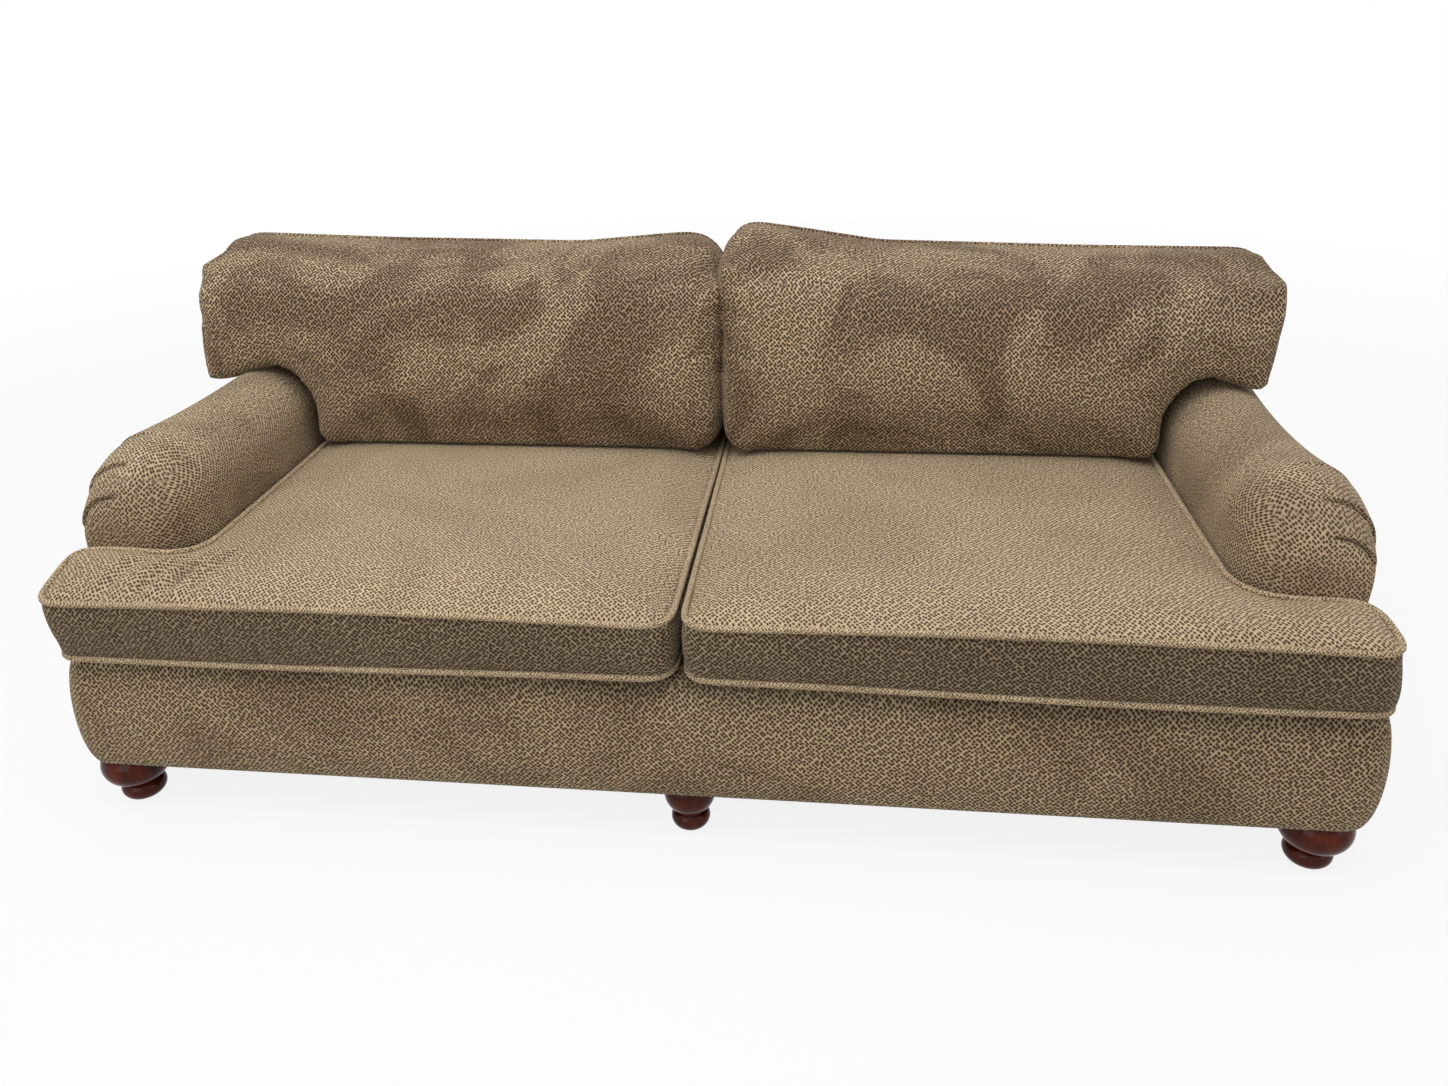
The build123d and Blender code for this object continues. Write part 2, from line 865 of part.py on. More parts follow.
# Feet
def foot(place, radius, foot_radius):
    """Turned foot: a round bun over a groove and a smaller round pad, bored for its bolt."""
    z_bun = z_base - bun_height
    z_groove = z_bun - groove_height
    z_bun_mid = (z_base + z_bun) / 2
    z_pad_mid = (z_groove + glide_thickness) / 2
    neck = foot_radius - groove_depth
    bun_seat = radius - 14
    glide_seat = foot_radius - 10
    with BuildPart() as turning:
        with BuildSketch(Plane.XZ):
            with BuildLine():
                Line((0, glide_thickness), (glide_seat, glide_thickness))
                ThreePointArc((glide_seat, glide_thickness), (foot_radius, z_pad_mid), (neck, z_groove))
                Line((neck, z_groove), (neck, z_bun))
                ThreePointArc((neck, z_bun), (radius, z_bun_mid), (bun_seat, z_base))
                Line((bun_seat, z_base), (0, z_base))
                Line((0, z_base), (0, glide_thickness))
            make_face()
        revolve(axis=Axis.Z)
        with BuildSketch(Plane.XY.offset(z_base)):
            Circle(bolt_radius + thread_clearance)
        extrude(amount=-(bolt_length - bolt_grip), mode=Mode.SUBTRACT)
    return turning.part.moved(Location((*place, 0)))


def make_feet():
    for name, place in foot_places.items():
        if "center" in name:
            save(foot(place, small_bun_radius, small_pad_radius), f"{name}_foot")
        else:
            save(foot(place, bun_radius, pad_radius), f"{name}_foot")


def upright(place, radius, z_low, z_high, bore=0.0):
    """A round upright at one foot, solid or bored through."""
    with BuildPart() as rod:
        with BuildSketch(Plane.XY.offset(z_low)):
            with Locations(place):
                Circle(radius)
                if bore:
                    Circle(bore, mode=Mode.SUBTRACT)
        extrude(amount=z_high - z_low)
    return rod.part


def make_foot_hardware():
    z_bolt = z_base - bolt_length + bolt_grip

    def bolt(place):
        return upright(place, bolt_radius, z_bolt, z_bolt + bolt_length)

    def insert(place):
        bore = bolt_radius + thread_clearance
        return upright(place, insert_radius - thread_clearance, z_plate, z_plate + insert_length, bore)

    def glide(place):
        return upright(place, glide_radius, 0, glide_thickness)

    save(feet_group(bolt), "foot_bolts")
    save(feet_group(insert), "foot_inserts")
    save(feet_group(glide), "foot_glides")


def main():
    os.makedirs("parts", exist_ok=True)
    make_front_rail()
    make_back_rail()
    make_cross_stretchers()
    make_corner_plates()
    make_center_plates()
    make_front_edge_roll()
    make_back_posts()
    make_back_rails()
    make_seat_springs()
    make_spring_clips()
    make_back_webbing()
    make_seat_deck()
    make_front_border()
    make_dust_cover()
    make_inside_back()
    make_outside_back()
    make_feet()
    make_foot_hardware()
    for side, name in sides:
        make_side_rail(side, name)
        make_arm_frame(side, name)
        make_arm(side, name)
        make_outside_arm(side, name)
        make_seat_cushion(side, name)
        make_back_cushion(side, name)


main()
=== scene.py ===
# %% [markdown]
# # A two-cushion sofa with rolled arms
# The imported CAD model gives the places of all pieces. This lesson loads it as a fixed frame, dresses it with
# soft upholstery, gives every surface a finish, and sets a camera and plain studio light around it.
# Metres are used throughout: +X is the right-hand side seen from the front, the front faces -Y, and +Z is up.

# %% Load the frame
import json
from math import cos, pi, radians, sin, tan

import bmesh
import bpy
import numpy as np
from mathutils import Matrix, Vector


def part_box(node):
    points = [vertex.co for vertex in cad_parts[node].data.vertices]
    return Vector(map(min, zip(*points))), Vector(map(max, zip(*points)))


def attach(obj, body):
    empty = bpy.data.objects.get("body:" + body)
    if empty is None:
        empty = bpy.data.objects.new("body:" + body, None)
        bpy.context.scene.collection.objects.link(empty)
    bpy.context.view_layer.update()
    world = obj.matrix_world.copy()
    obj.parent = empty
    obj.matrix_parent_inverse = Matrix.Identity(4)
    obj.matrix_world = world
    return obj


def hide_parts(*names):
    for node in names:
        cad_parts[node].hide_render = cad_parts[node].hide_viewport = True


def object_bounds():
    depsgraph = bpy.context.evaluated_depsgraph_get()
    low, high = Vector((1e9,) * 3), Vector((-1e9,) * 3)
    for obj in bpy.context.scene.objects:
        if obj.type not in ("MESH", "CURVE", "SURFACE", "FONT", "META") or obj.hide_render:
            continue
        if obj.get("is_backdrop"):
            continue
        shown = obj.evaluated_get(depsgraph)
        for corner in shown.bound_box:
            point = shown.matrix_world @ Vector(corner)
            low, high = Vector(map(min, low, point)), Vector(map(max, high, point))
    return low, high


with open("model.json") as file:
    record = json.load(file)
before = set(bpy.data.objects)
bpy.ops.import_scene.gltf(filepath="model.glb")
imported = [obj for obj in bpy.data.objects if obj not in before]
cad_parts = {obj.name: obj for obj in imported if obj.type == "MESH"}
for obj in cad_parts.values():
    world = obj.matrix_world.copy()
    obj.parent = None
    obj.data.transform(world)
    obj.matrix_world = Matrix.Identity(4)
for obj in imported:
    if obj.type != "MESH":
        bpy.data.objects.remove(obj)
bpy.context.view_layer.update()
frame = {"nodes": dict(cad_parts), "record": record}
scene = bpy.context.scene

# %% [markdown]
# ## The camera
# The photograph was taken from above and slightly to the right of the middle, with a short lens. A camera could
# be aimed by a tracking constraint, but that leaves out its slight roll. Three angles, worked out from the
# straight edges of the base, give the whole turn. A camera looks along its own -Z axis, so its matrix has the
# right, up and backward directions as columns.

# %% Place the camera
CAMERA_PLACE = np.array((0.2526, -1.8749, 1.352))
YAW, PITCH, ROLL = radians(7.036), radians(27.988), radians(-1.639)
SENSOR_MM, LENS_MM, FAR_CLIP = 36.0, 26.20, 60


def aim(item, right, up, back, place):
    """Matrix of a camera or lamp: its right, up and backward directions and its place as columns."""
    matrix = np.eye(4)
    matrix[:3, :4] = np.column_stack((right, up, back, place))
    item.matrix_world = matrix.T.tolist()


level_right = np.array((cos(YAW), sin(YAW), 0))
level_ahead = np.array((-sin(YAW), cos(YAW), 0))
straight_up = np.array((0, 0, 1))
ahead = cos(PITCH) * level_ahead - sin(PITCH) * straight_up
tilted_up = sin(PITCH) * level_ahead + cos(PITCH) * straight_up
right = cos(ROLL) * level_right + sin(ROLL) * tilted_up
up = -sin(ROLL) * level_right + cos(ROLL) * tilted_up

camera = bpy.data.objects.new("camera", bpy.data.cameras.new("camera"))
scene.collection.objects.link(camera)
camera.data.sensor_width, camera.data.lens, camera.data.clip_end = SENSOR_MM, LENS_MM, FAR_CLIP
aim(camera, right, up, -ahead, CAMERA_PLACE)
scene.camera = camera
print("camera at", CAMERA_PLACE)

# %% [markdown]
# ## Writing shader maths as expressions
# A finish could be drawn node by node in the shader editor, but formulas are easier to read and to change.
# `Thread` wraps one output socket, so that `1 - mask` or `weave * 0.4` adds the Math node by itself. Every other
# node comes from its `node` method.

# %% A socket that takes part in sums


class Thread:
    """One output socket of a node tree, with arithmetic that adds Math nodes."""

    def __init__(self, tree, socket=None):
        self.tree, self.socket = tree, socket

    def node(self, kind, settings=None, inputs=None, output=0):
        """Add a node of any kind: its settings first, then values or links for its sockets."""
        made = self.tree.nodes.new(kind)
        for key, value in (settings or {}).items():
            if key == "stops":
                ramp = made.color_ramp
                while len(ramp.elements) < len(value):
                    ramp.elements.new(0.5)
                for stop, (place, level) in zip(ramp.elements, value):
                    stop.position, stop.color = place, (level, level, level, 1)
            else:
                setattr(made, key, value)
        for key, value in (inputs or {}).items():
            if isinstance(value, Thread):
                self.tree.links.new(value.socket, made.inputs[key])
            else:
                made.inputs[key].default_value = value
        return Thread(self.tree, made.outputs[output])

    def maths(self, operation, *values):
        """One Math node on one, two or three values."""
        return self.node("ShaderNodeMath", {"operation": operation}, dict(enumerate(values)))

    def __add__(self, other):
        return self.maths("ADD", self, other)

    def __sub__(self, other):
        return self.maths("SUBTRACT", self, other)

    def __rsub__(self, other):
        return self.maths("SUBTRACT", other, self)

    def __mul__(self, other):
        return self.maths("MULTIPLY", self, other)

    __radd__, __rmul__ = __add__, __mul__

    def ramp(self, *stops):
        """Grey levels along this value, given as (place, level) stops."""
        return self.node("ShaderNodeValToRGB", {"stops": stops}, {"Fac": self})

    def tint(self, low, high):
        """A colour between two colours, chosen by this value."""
        return self.node(
            "ShaderNodeMix", {"data_type": "RGBA"}, {"Factor": self, 6: low, 7: high}, output=2
        )


# %% A finish with one shader


def new_finish(name, **constants):
    """A material with one Principled shader; the constants are set on the shader's own sockets."""
    finish = bpy.data.materials.new(name)
    finish.use_nodes = True
    shader = finish.node_tree.nodes["Principled BSDF"]
    for key, value in constants.items():
        shader.inputs[key.replace("_", " ")].default_value = value
    return finish, Thread(finish.node_tree)


def wire_up(finish, colour, rough, height, strength, distance):
    """Feed the shader: colour and roughness directly, and the height through a Bump node into the normal."""
    tree = finish.node_tree
    relief = {"Height": height, "Strength": strength, "Distance": distance}
    bump = Thread(tree).node("ShaderNodeBump", None, relief)
    shader = tree.nodes["Principled BSDF"]
    for socket, value in (("Base Color", colour), ("Roughness", rough), ("Normal", bump)):
        tree.links.new(value.socket, shader.inputs[socket])
    return finish


# %% Nodes that every finish uses


def split(start, vector):
    """The three parts of a vector as three values."""
    return [start.node("ShaderNodeSeparateXYZ", None, {0: vector}, axis) for axis in range(3)]


def noise(start, place, scale, detail, **more):
    """Smooth random values over space."""
    return start.node(
        "ShaderNodeTexNoise", None, {"Vector": place, "Scale": scale, "Detail": detail, **more}
    )


def times(start, *colours):
    """The product of colours, part by part."""
    product = colours[0]
    for colour in colours[1:]:
        product = start.node(
            "ShaderNodeMix", {"data_type": "RGBA", "blend_type": "MULTIPLY"},
            {"Factor": 1.0, 6: product, 7: colour}, output=2,
        )
    return product


# %% [markdown]
# ## Chenille
# The cover cloth is a brown chenille: a tan net of raised yarn round small dark pits about half a centimetre
# apart, laid slantwise. The nap lies differently from place to place, which leaves soft patches of darker brown.
# The weave could follow an unwrapped surface, but the cushions are remeshed, which loses any unwrapping. So the
# pits are a flat Voronoi pattern on each of three planes, blended by the way that the surface faces, and the
# weave keeps its size on every side of every piece.

# %% Pits of the weave
PIT_SLANT, PIT_CROSS = 0.71, 0.60
PIT_SCATTER = 0.40
WEAVE_WANDER = 1.2


def pits_on_plane(start, across, along, bend, spacing):
    """Distance to the nearest cell centre of a flat Voronoi pattern. Its axes run slantwise, as the sum and the
    difference of two coordinates over the spacing, and a slow noise bends them."""
    slant = (across + along) * (PIT_SLANT / spacing) + bend
    cross = (across - along) * (PIT_CROSS / spacing) - bend
    cell = start.node("ShaderNodeCombineXYZ", None, {0: slant, 1: cross, 2: 0.0})
    return start.node(
        "ShaderNodeTexVoronoi", {"voronoi_dimensions": "2D"},
        {"Vector": cell, "Scale": 1.0, "Randomness": PIT_SCATTER},
    )


def pits_all_round(start, place, nx, ny, nz, spacing):
    """Pits on the level, end and front planes, each weighted by how far its part of the normal leads."""
    x, y, z = split(start, place)
    bend = (noise(start, place, 22.0, 1.0) - 0.5) * WEAVE_WANDER
    top = ((nz - start.maths("MAXIMUM", nx, ny)) * 4 + 0.5).ramp((0.0, 0.0), (1.0, 1.0))
    end = ((nx - ny) * 4 + 0.5).ramp((0.0, 0.0), (1.0, 1.0)) * (1 - top)
    level, side, front = (
        pits_on_plane(start, across, along, bend, spacing) for across, along in ((x, y), (y, z), (x, z))
    )
    return level * top + side * end + front * (1 - top - end)


# %% Nap and colour of the cloth
WHITE = (1, 1, 1, 1)
NET_TAN = (0.450, 0.352, 0.232, 1)
PIT_BROWN = (0.040, 0.026, 0.016, 1)
NAP_SHADE = (0.55, 0.49, 0.47, 1)
SHEEN_TAN = (0.85, 0.72, 0.52, 1)
WORN_SHARE, WORN_SHADE = 0.25, 0.74


def nap_wear_and_shade(start, place, seed, patch_depth, shade):
    """Two colours to multiply in: dark patches where a large soft noise passes its middle, and a slower noise
    that takes the cloth's shade part of the way to a darker one."""
    shifted = start.node("ShaderNodeMapping", None, {"Vector": place, "Location": (seed, seed * 0.7, -seed)})
    drift = noise(start, shifted, 3.4, 4.0, Roughness=0.55, Distortion=1.1)
    patch = drift.ramp((0.46, 0.0), (0.58, 1.0)) * patch_depth
    cloud = noise(start, shifted, 2.2, 2.0).ramp((0.3, 0.0), (0.7, 1.0))
    darker = tuple(WORN_SHADE * part for part in shade[:3]) + (1,)
    # The second colour is the cloth's shade, which is partly painted shade per piece, with random wear taken out of
    # it.
    return patch.tint(WHITE, NAP_SHADE), (cloud * WORN_SHARE).tint(shade, darker)


def chenille(name, spacing, pit_size, patch_depth, shade, upright_painted_shade=1.0, seed=0.0):
    """Pitted cloth: net = ramp of the pits less their size; colour = pit or net by the net, times the nap. On
    upright faces the pits grow and the colour turns darker and warmer: painted shade for the weaker light on the
    sides."""
    finish, start = new_finish(
        name, Sheen_Weight=0.18, Sheen_Roughness=0.45, Sheen_Tint=SHEEN_TAN, Specular_IOR_Level=0.12
    )
    place = start.node("ShaderNodeTexCoord", output="Object")
    facing = split(start, start.node("ShaderNodeTexCoord", output="Normal"))
    nx, ny, nz = (start.maths("ABSOLUTE", part) for part in facing)
    pits = pits_all_round(start, place, nx, ny, nz, spacing)
    fibre = noise(start, place, 420.0, 2.0)
    # Painted shade: upright faces get larger pits and a darker, warmer colour, for the weaker light that falls on
    # the sides.
    upright = nz.ramp((0.30, 1.0), (0.62, 0.0))
    pit_size_with_shade = pit_size + upright * ((1 - upright_painted_shade) * 0.22)
    net = (pits + (fibre - 0.5) * 0.20 - pit_size_with_shade).ramp((0.18, 0.0), (0.34, 0.45), (0.48, 1.0))
    nap, shade_and_wear = nap_wear_and_shade(start, place, seed, patch_depth, shade)
    # panel is the painted shade of upright faces, as a darker, warmer tint.
    panel = upright.tint(WHITE, (upright_painted_shade, upright_painted_shade * 0.96, upright_painted_shade * 0.91, 1))
    dyed = times(start, net.tint(PIT_BROWN, NET_TAN), nap, shade_and_wear, panel)
    return wire_up(finish, dyed, 0.98 - net * 0.14, net * 0.8 + fibre * 0.35, 0.45, 0.0015)


# %% The sofa's five cloths
# The cloths are one fabric. Their shades and pit sizes differ to set each piece's brightness, which is painted
# light and shade: the backs, arms and border are darker than the seat, and the seat's upright faces are darkest.
seat_cloth = chenille(
    "seat_chenille", spacing=0.0054, pit_size=0.02, patch_depth=0.20, shade=(1.0, 0.985, 0.96, 1),
    upright_painted_shade=0.63, seed=1.7,
)
# The welts get a lighter copy of the seat cloth without the upright shade: a painted highlight along the cords.
lit_welt_cloth = chenille(
    "welt_chenille_lit", spacing=0.0040, pit_size=0.0, patch_depth=0.15, shade=(1.08, 1.055, 1.02, 1), seed=1.7
)
back_cloth = chenille(
    "back_chenille", spacing=0.0055, pit_size=0.09, patch_depth=0.85, shade=(0.96, 0.935, 0.90, 1), seed=4.3
)
frame_cloth = chenille(
    "frame_chenille", spacing=0.0052, pit_size=0.02, patch_depth=0.50, shade=(0.92, 0.905, 0.88, 1), seed=7.9
)
border_cloth = chenille(
    "border_chenille", spacing=0.0057, pit_size=0.08, patch_depth=0.50, shade=(0.98, 0.955, 0.90, 1), seed=2.6
)
print("made", len(bpy.data.materials), "materials so far")

# %% [markdown]
# ## The other finishes
# The feet are lacquered red-brown mahogany, and what the cloth hides is sawn timber, oiled wire, brass, woven
# webbing, black non-woven cloth and moulded nylon. Grain could be made of rings in a wave texture, but at this
# size a noise stretched along the piece looks the same and serves metal and nylon too. Plain weaves are the
# product of two sine waves, which repeats exactly as threads do.

# %% Grained and woven finishes


def grained(name, dark, pale, stretch, scale, rough, relief=0.0004, **constants):
    """Stretched noise: colour = dark to pale along the noise, and the same noise as a fine relief."""
    finish, start = new_finish(name, **constants)
    place = start.node("ShaderNodeTexCoord", output="Object")
    pulled = start.node("ShaderNodeMapping", None, {"Vector": place, "Scale": stretch})
    grain = noise(start, pulled, scale, 5.0, Distortion=0.6)
    tone = grain.ramp((0.3, 0.0), (0.7, 1.0))
    return wire_up(finish, tone.tint(dark, pale), rough + (grain - 0.5) * 0.12, grain, 0.3, relief)


def woven(name, dark, pale, pitch):
    """Plain weave: the product of two sine waves, along X and along Y + Z, with noise in the yarn."""
    finish, start = new_finish(name, Specular_IOR_Level=0.15)
    place = start.node("ShaderNodeTexCoord", output="Object")
    x, y, z = split(start, place)
    warp = start.maths("SINE", x * (pi / pitch))
    weft = start.maths("SINE", (y + z) * (pi / pitch))
    slub = noise(start, place, 90.0, 2.0)
    yarn = (warp * weft * 0.5 + 0.5) * 0.7 + slub * 0.3
    return wire_up(finish, yarn.tint(dark, pale), 0.95 - yarn * 0.1, yarn, 0.4, 0.001)


# %% Feet, timber, metal and hidden cloth
ALONG_FOOT, ALONG_BOARD, ROUND_PIN, EVEN = (3, 3, 0.6), (0.25, 4, 4), (1, 1, 8), (1, 1, 1)
mahogany = grained(
    "mahogany_lacquer", (0.022, 0.0028, 0.0010, 1), (0.095, 0.014, 0.0040, 1), ALONG_FOOT, 16.0, 0.12,
    relief=0.0001, Specular_IOR_Level=0.14,
)
timber = grained("sawn_timber", (0.36, 0.23, 0.12, 1), (0.62, 0.45, 0.27, 1), ALONG_BOARD, 14.0, 0.75)
steel = grained("spring_steel", (0.20, 0.20, 0.21, 1), (0.45, 0.45, 0.46, 1), EVEN, 160.0, 0.35, Metallic=1.0)
brass = grained("turned_brass", (0.45, 0.30, 0.10, 1), (0.75, 0.56, 0.26, 1), ROUND_PIN, 90.0, 0.32, Metallic=1.0)
nylon = grained("moulded_nylon", (0.035, 0.024, 0.017, 1), (0.06, 0.042, 0.03, 1), EVEN, 220.0, 0.5)
foam = grained("fibre_fill", (0.70, 0.64, 0.48, 1), (0.90, 0.86, 0.72, 1), EVEN, 140.0, 0.95, relief=0.002)
webbing = woven("jute_webbing", (0.33, 0.25, 0.15, 1), (0.66, 0.55, 0.38, 1), 0.003)
deck_cloth = woven("deck_cloth", (0.085, 0.062, 0.040, 1), (0.21, 0.165, 0.11, 1), 0.0022)
dust_cloth = woven("dust_cloth", (0.010, 0.010, 0.010, 1), (0.030, 0.029, 0.028, 1), 0.0018)
print("made", len(bpy.data.materials), "materials")

# %% [markdown]
# ## Turning arrays into meshes
# A surface could be pushed and pulled by hand. Here it is an array of points with rows and columns, so that one
# formula sets all points at once and a size can change later. Neighbouring points make quads. Points that fall
# together, such as a pole or a closed seam, are merged, and the faces are turned outwards.

# %% From points to a piece
MERGE_DISTANCE, SPECK = 2e-5, 1e-6


def close_mesh(mesh):
    """Merge points that fall together and turn the faces outwards."""
    work = bmesh.new()
    work.from_mesh(mesh)
    bmesh.ops.remove_doubles(work, verts=work.verts, dist=MERGE_DISTANCE)
    bmesh.ops.dissolve_degenerate(work, edges=work.edges, dist=SPECK)
    bmesh.ops.recalc_face_normals(work, faces=work.faces)
    work.to_mesh(mesh)
    work.free()


def put_mesh(name, points, faces, finish, smooth=True):
    """A mesh object at the origin from an array of points and an array of faces."""
    mesh = bpy.data.meshes.new(name)
    mesh.from_pydata(np.asarray(points, float).tolist(), [], np.asarray(faces).tolist())
    piece = bpy.data.objects.new(name, mesh)
    scene.collection.objects.link(piece)
    bpy.context.view_layer.objects.active = piece
    close_mesh(mesh)
    mesh.materials.append(finish)
    if smooth:
        mesh.shade_smooth()
    else:
        mesh.shade_flat()
    return piece


# %% Grids of quads


def grid_faces(rows, columns, first=0, wrap_rows=False, wrap_columns=False):
    """Quads between neighbouring points: point (i, j) has the number i x columns + j, and the last row or column
    joins the first where it wraps."""
    i = np.arange(rows if wrap_rows else rows - 1)[:, None]
    j = np.arange(columns if wrap_columns else columns - 1)[None, :]
    down, along = (i + 1) % rows, (j + 1) % columns
    corners = (i * columns + j, down * columns + j, down * columns + along, i * columns + along)
    return first + np.stack([c + 0 * (i + j) for c in corners], -1).reshape(-1, 4)


def grid_piece(name, points, finish, wrap_rows=False, wrap_columns=False):
    """A piece from one array of points with shape rows, columns, 3."""
    rows, columns = points.shape[:2]
    faces = grid_faces(rows, columns, 0, wrap_rows, wrap_columns)
    return put_mesh(name, points.reshape(-1, 3), faces, finish)


print("3 by 4 points make", len(grid_faces(3, 4)), "quads")

# %% [markdown]
# ## The rolled arms
# Each arm is a padded roll with a domed front. It could be a bent box under a Subdivision Surface, but its top
# and sides change along its length, so a section that is carried along and changes with it is easier to fit. The
# section is a closed loop: up the inside face, over the roll, down to the seam with the outside panel, and back
# under. It shrinks over the nose along a quarter ellipse. Three pleats gather the cloth on the outer half of the
# nose.

# %% Arm sizes from the frame
SIDES = (("left", -1), ("right", 1))
arm_low, arm_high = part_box("right_arm_cover")
ARM_INNER, ARM_OUTER = arm_low.x, arm_high.x
ARM_BOTTOM, ARM_FRONT, ARM_REAR = arm_low.z, arm_low.y, arm_high.y
ARM_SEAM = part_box("right_outside_arm")[1].z
ARM_NOSE_LENGTH, ARM_NOSE_DROP = 0.150, 0.140
ARM_NOSE_INNER, ARM_NOSE_OUTER = 0.085, 0.026
ARM_ROLL, ARM_ROLL_LOSS = 0.102, 0.058
ARM_TUCK, SEAM_DROP = 0.013, 0.010
# Four places along the arm, from the nose to the rear, with the top and the two sides there.
ARM_PLACES = (ARM_FRONT + ARM_NOSE_LENGTH, -0.02, 0.22, ARM_REAR)
ARM_TOPS = {"left": (0.648, 0.636, 0.634, 0.642), "right": (0.634, 0.616, 0.620, 0.646)}
ARM_OUTER_SIDE = (ARM_OUTER, 1.110, 1.109, 1.111)
ARM_INNER_SIDE = (ARM_INNER, 0.908, 0.909, 0.905)
print("arm", round(ARM_INNER, 3), "to", round(ARM_OUTER, 3), "front", round(ARM_FRONT, 3))

# %% Two curves that many pieces use


def ease(value, low, high):
    """0 below low, 1 above high, and a smooth S between them: 3 t squared less 2 t cubed."""
    t = np.clip((value - low) / (high - low), 0, 1)
    return t * t * (3 - 2 * t)


def through(places, values, at):
    """The polynomial through the given points, read at other places."""
    return np.polyval(np.polyfit(places, values, len(places) - 1), at)


print("left arm's top at y = 0:", round(float(through(ARM_PLACES, ARM_TOPS["left"], 0.0)), 3))

# %% Arm section


def arm_section(inner, outer, top, radius, bottom, tuck):
    """Closed loop of a roll for each row: side, quarter ellipse, top, quarter ellipse, side, seam, bottom."""
    def run(count):
        return np.linspace(0, 1, count, endpoint=False)[None, :]

    reach = np.minimum(radius, (outer - inner) / 2)
    shoulder = np.maximum(top - radius, bottom + 0.02)
    seam = np.minimum(ARM_SEAM, shoulder - 0.004)
    turn = pi / 2 * run(22)
    xs = (
        inner + 0 * run(16),
        inner + reach * (1 - np.cos(turn)),
        inner + reach + (outer - inner - 2 * reach) * run(6),
        outer - reach * (1 - np.sin(turn)),
        outer - 0.002 * np.sin(pi * run(10)),
        outer - tuck * ease(run(6), 0, 0.7),
        outer - tuck + 0 * run(10),
        outer - tuck + (inner - outer + tuck) * run(10),
    )
    zs = (
        bottom + (shoulder - bottom) * run(16),
        shoulder + (top - shoulder) * np.sin(turn),
        top + 0 * run(6),
        top - (top - shoulder) * (1 - np.cos(turn)),
        shoulder + (seam - shoulder) * run(10),
        seam - SEAM_DROP * run(6),
        seam - SEAM_DROP + (bottom - seam + SEAM_DROP) * run(10),
        bottom + 0 * run(10),
    )
    rows = np.broadcast_shapes(np.shape(inner), np.shape(top))[0]
    return np.stack([
        np.concatenate([np.broadcast_to(part, (rows, part.shape[1])) for part in parts], 1) for parts in (xs, zs)
    ], -1)


# %% Pleats
# Each pleat has its angle on the nose, its depth as a share, and how far above the seam it starts.
PLEATS = ((0.02, 0.75, 0.075), (0.62, 1.0, 0.0), (1.06, 1.0, 0.0))
PLEAT_STEP, PLEAT_REACH = 0.0045, 0.016
PLEAT_GROOVE, PLEAT_WIDTH = 0.006, 0.0022


def pleat(points, angle, inner, outer):
    """Each pleat lifts the cloth before its place and sinks it behind, both fading exponentially, with a thin
    Gaussian groove between. The points move along the outward direction, on the outer half only."""
    lateral = np.clip((points[..., 0] - (inner + outer) / 2) / ((outer - inner) / 2), -1, 1) ** 3
    facing = np.stack((lateral, -np.sin(angle) + 0 * lateral, np.cos(angle) * (1 - np.abs(lateral))), -1)
    facing /= np.linalg.norm(facing, axis=-1, keepdims=True)
    outwards = ease(points[..., 0], inner + 0.42 * (outer - inner), inner + 0.62 * (outer - inner))
    for place, depth, above in PLEATS:
        high = ease(points[..., 2], ARM_SEAM + above - 0.005, ARM_SEAM + 1.5 * above + 0.010)
        gap = (angle - place) * (ARM_NOSE_LENGTH + ARM_NOSE_DROP) / 2
        over = np.exp(-np.clip(-gap, 0, None) / PLEAT_REACH)
        under = np.exp(-np.clip(gap, 0, None) / PLEAT_REACH)
        step = np.where(gap < 0, PLEAT_STEP * over, -PLEAT_STEP * under)
        fold = step - PLEAT_GROOVE * np.exp(-((gap / PLEAT_WIDTH) ** 2))
        points = points + (depth * fold * outwards * high)[..., None] * facing
    return points


# %% Arm from the rear to the nose
FRONT_RINGS, FRONT_BULGE = (0.8, 0.5, 0.2, 0.0), 0.006


def make_arm(hand, side):
    """Rows: a rear pole, the straight roll, the nose along a quarter ellipse, the flat front, a front pole."""
    straight = np.linspace(ARM_REAR, ARM_PLACES[0], 46)
    bend = np.linspace(0, pi / 2, 150)[1:]
    y = np.concatenate((straight, ARM_FRONT + ARM_NOSE_LENGTH * (1 - np.sin(bend))))[:, None]
    angle = np.concatenate((0 * straight, bend))[:, None]
    station, turned = np.maximum(y, ARM_PLACES[0]), 1 - np.cos(angle)
    top = through(ARM_PLACES, ARM_TOPS[hand], station) - ARM_NOSE_DROP * turned
    outer = through(ARM_PLACES, ARM_OUTER_SIDE, station) - ARM_NOSE_OUTER * turned
    inner = through(ARM_PLACES, ARM_INNER_SIDE, station) + ARM_NOSE_INNER * turned
    tuck = ARM_TUCK * (1 - ease(angle, 0.0, 0.45))
    loop = arm_section(inner, outer, top, ARM_ROLL - ARM_ROLL_LOSS * turned, ARM_BOTTOM, tuck)
    along = np.broadcast_to(y[..., None], loop[..., :1].shape)
    points = pleat(np.concatenate((loop[..., :1], along, loop[..., 1:]), -1), angle, inner, outer)

    rear = points[:1].mean(1, keepdims=True) + 0 * points[:1]
    face = points[-1:]
    centre = face.mean(1, keepdims=True)
    front = [
        centre + (face - centre) * share - np.array((0, FRONT_BULGE * (1 - share * share), 0))
        for share in FRONT_RINGS
    ]
    points = np.concatenate((rear, points, *front), 0)
    points[..., 0] *= side
    return grid_piece(f"{hand}_rolled_arm", points, frame_cloth, wrap_columns=True)


# %% Both arms
for hand, side in SIDES:
    arm = make_arm(hand, side)
    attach(arm, "frame")
    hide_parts(f"{hand}_arm_cover", f"{hand}_arm_padding")
    print("arm", hand, len(arm.data.polygons), "faces")

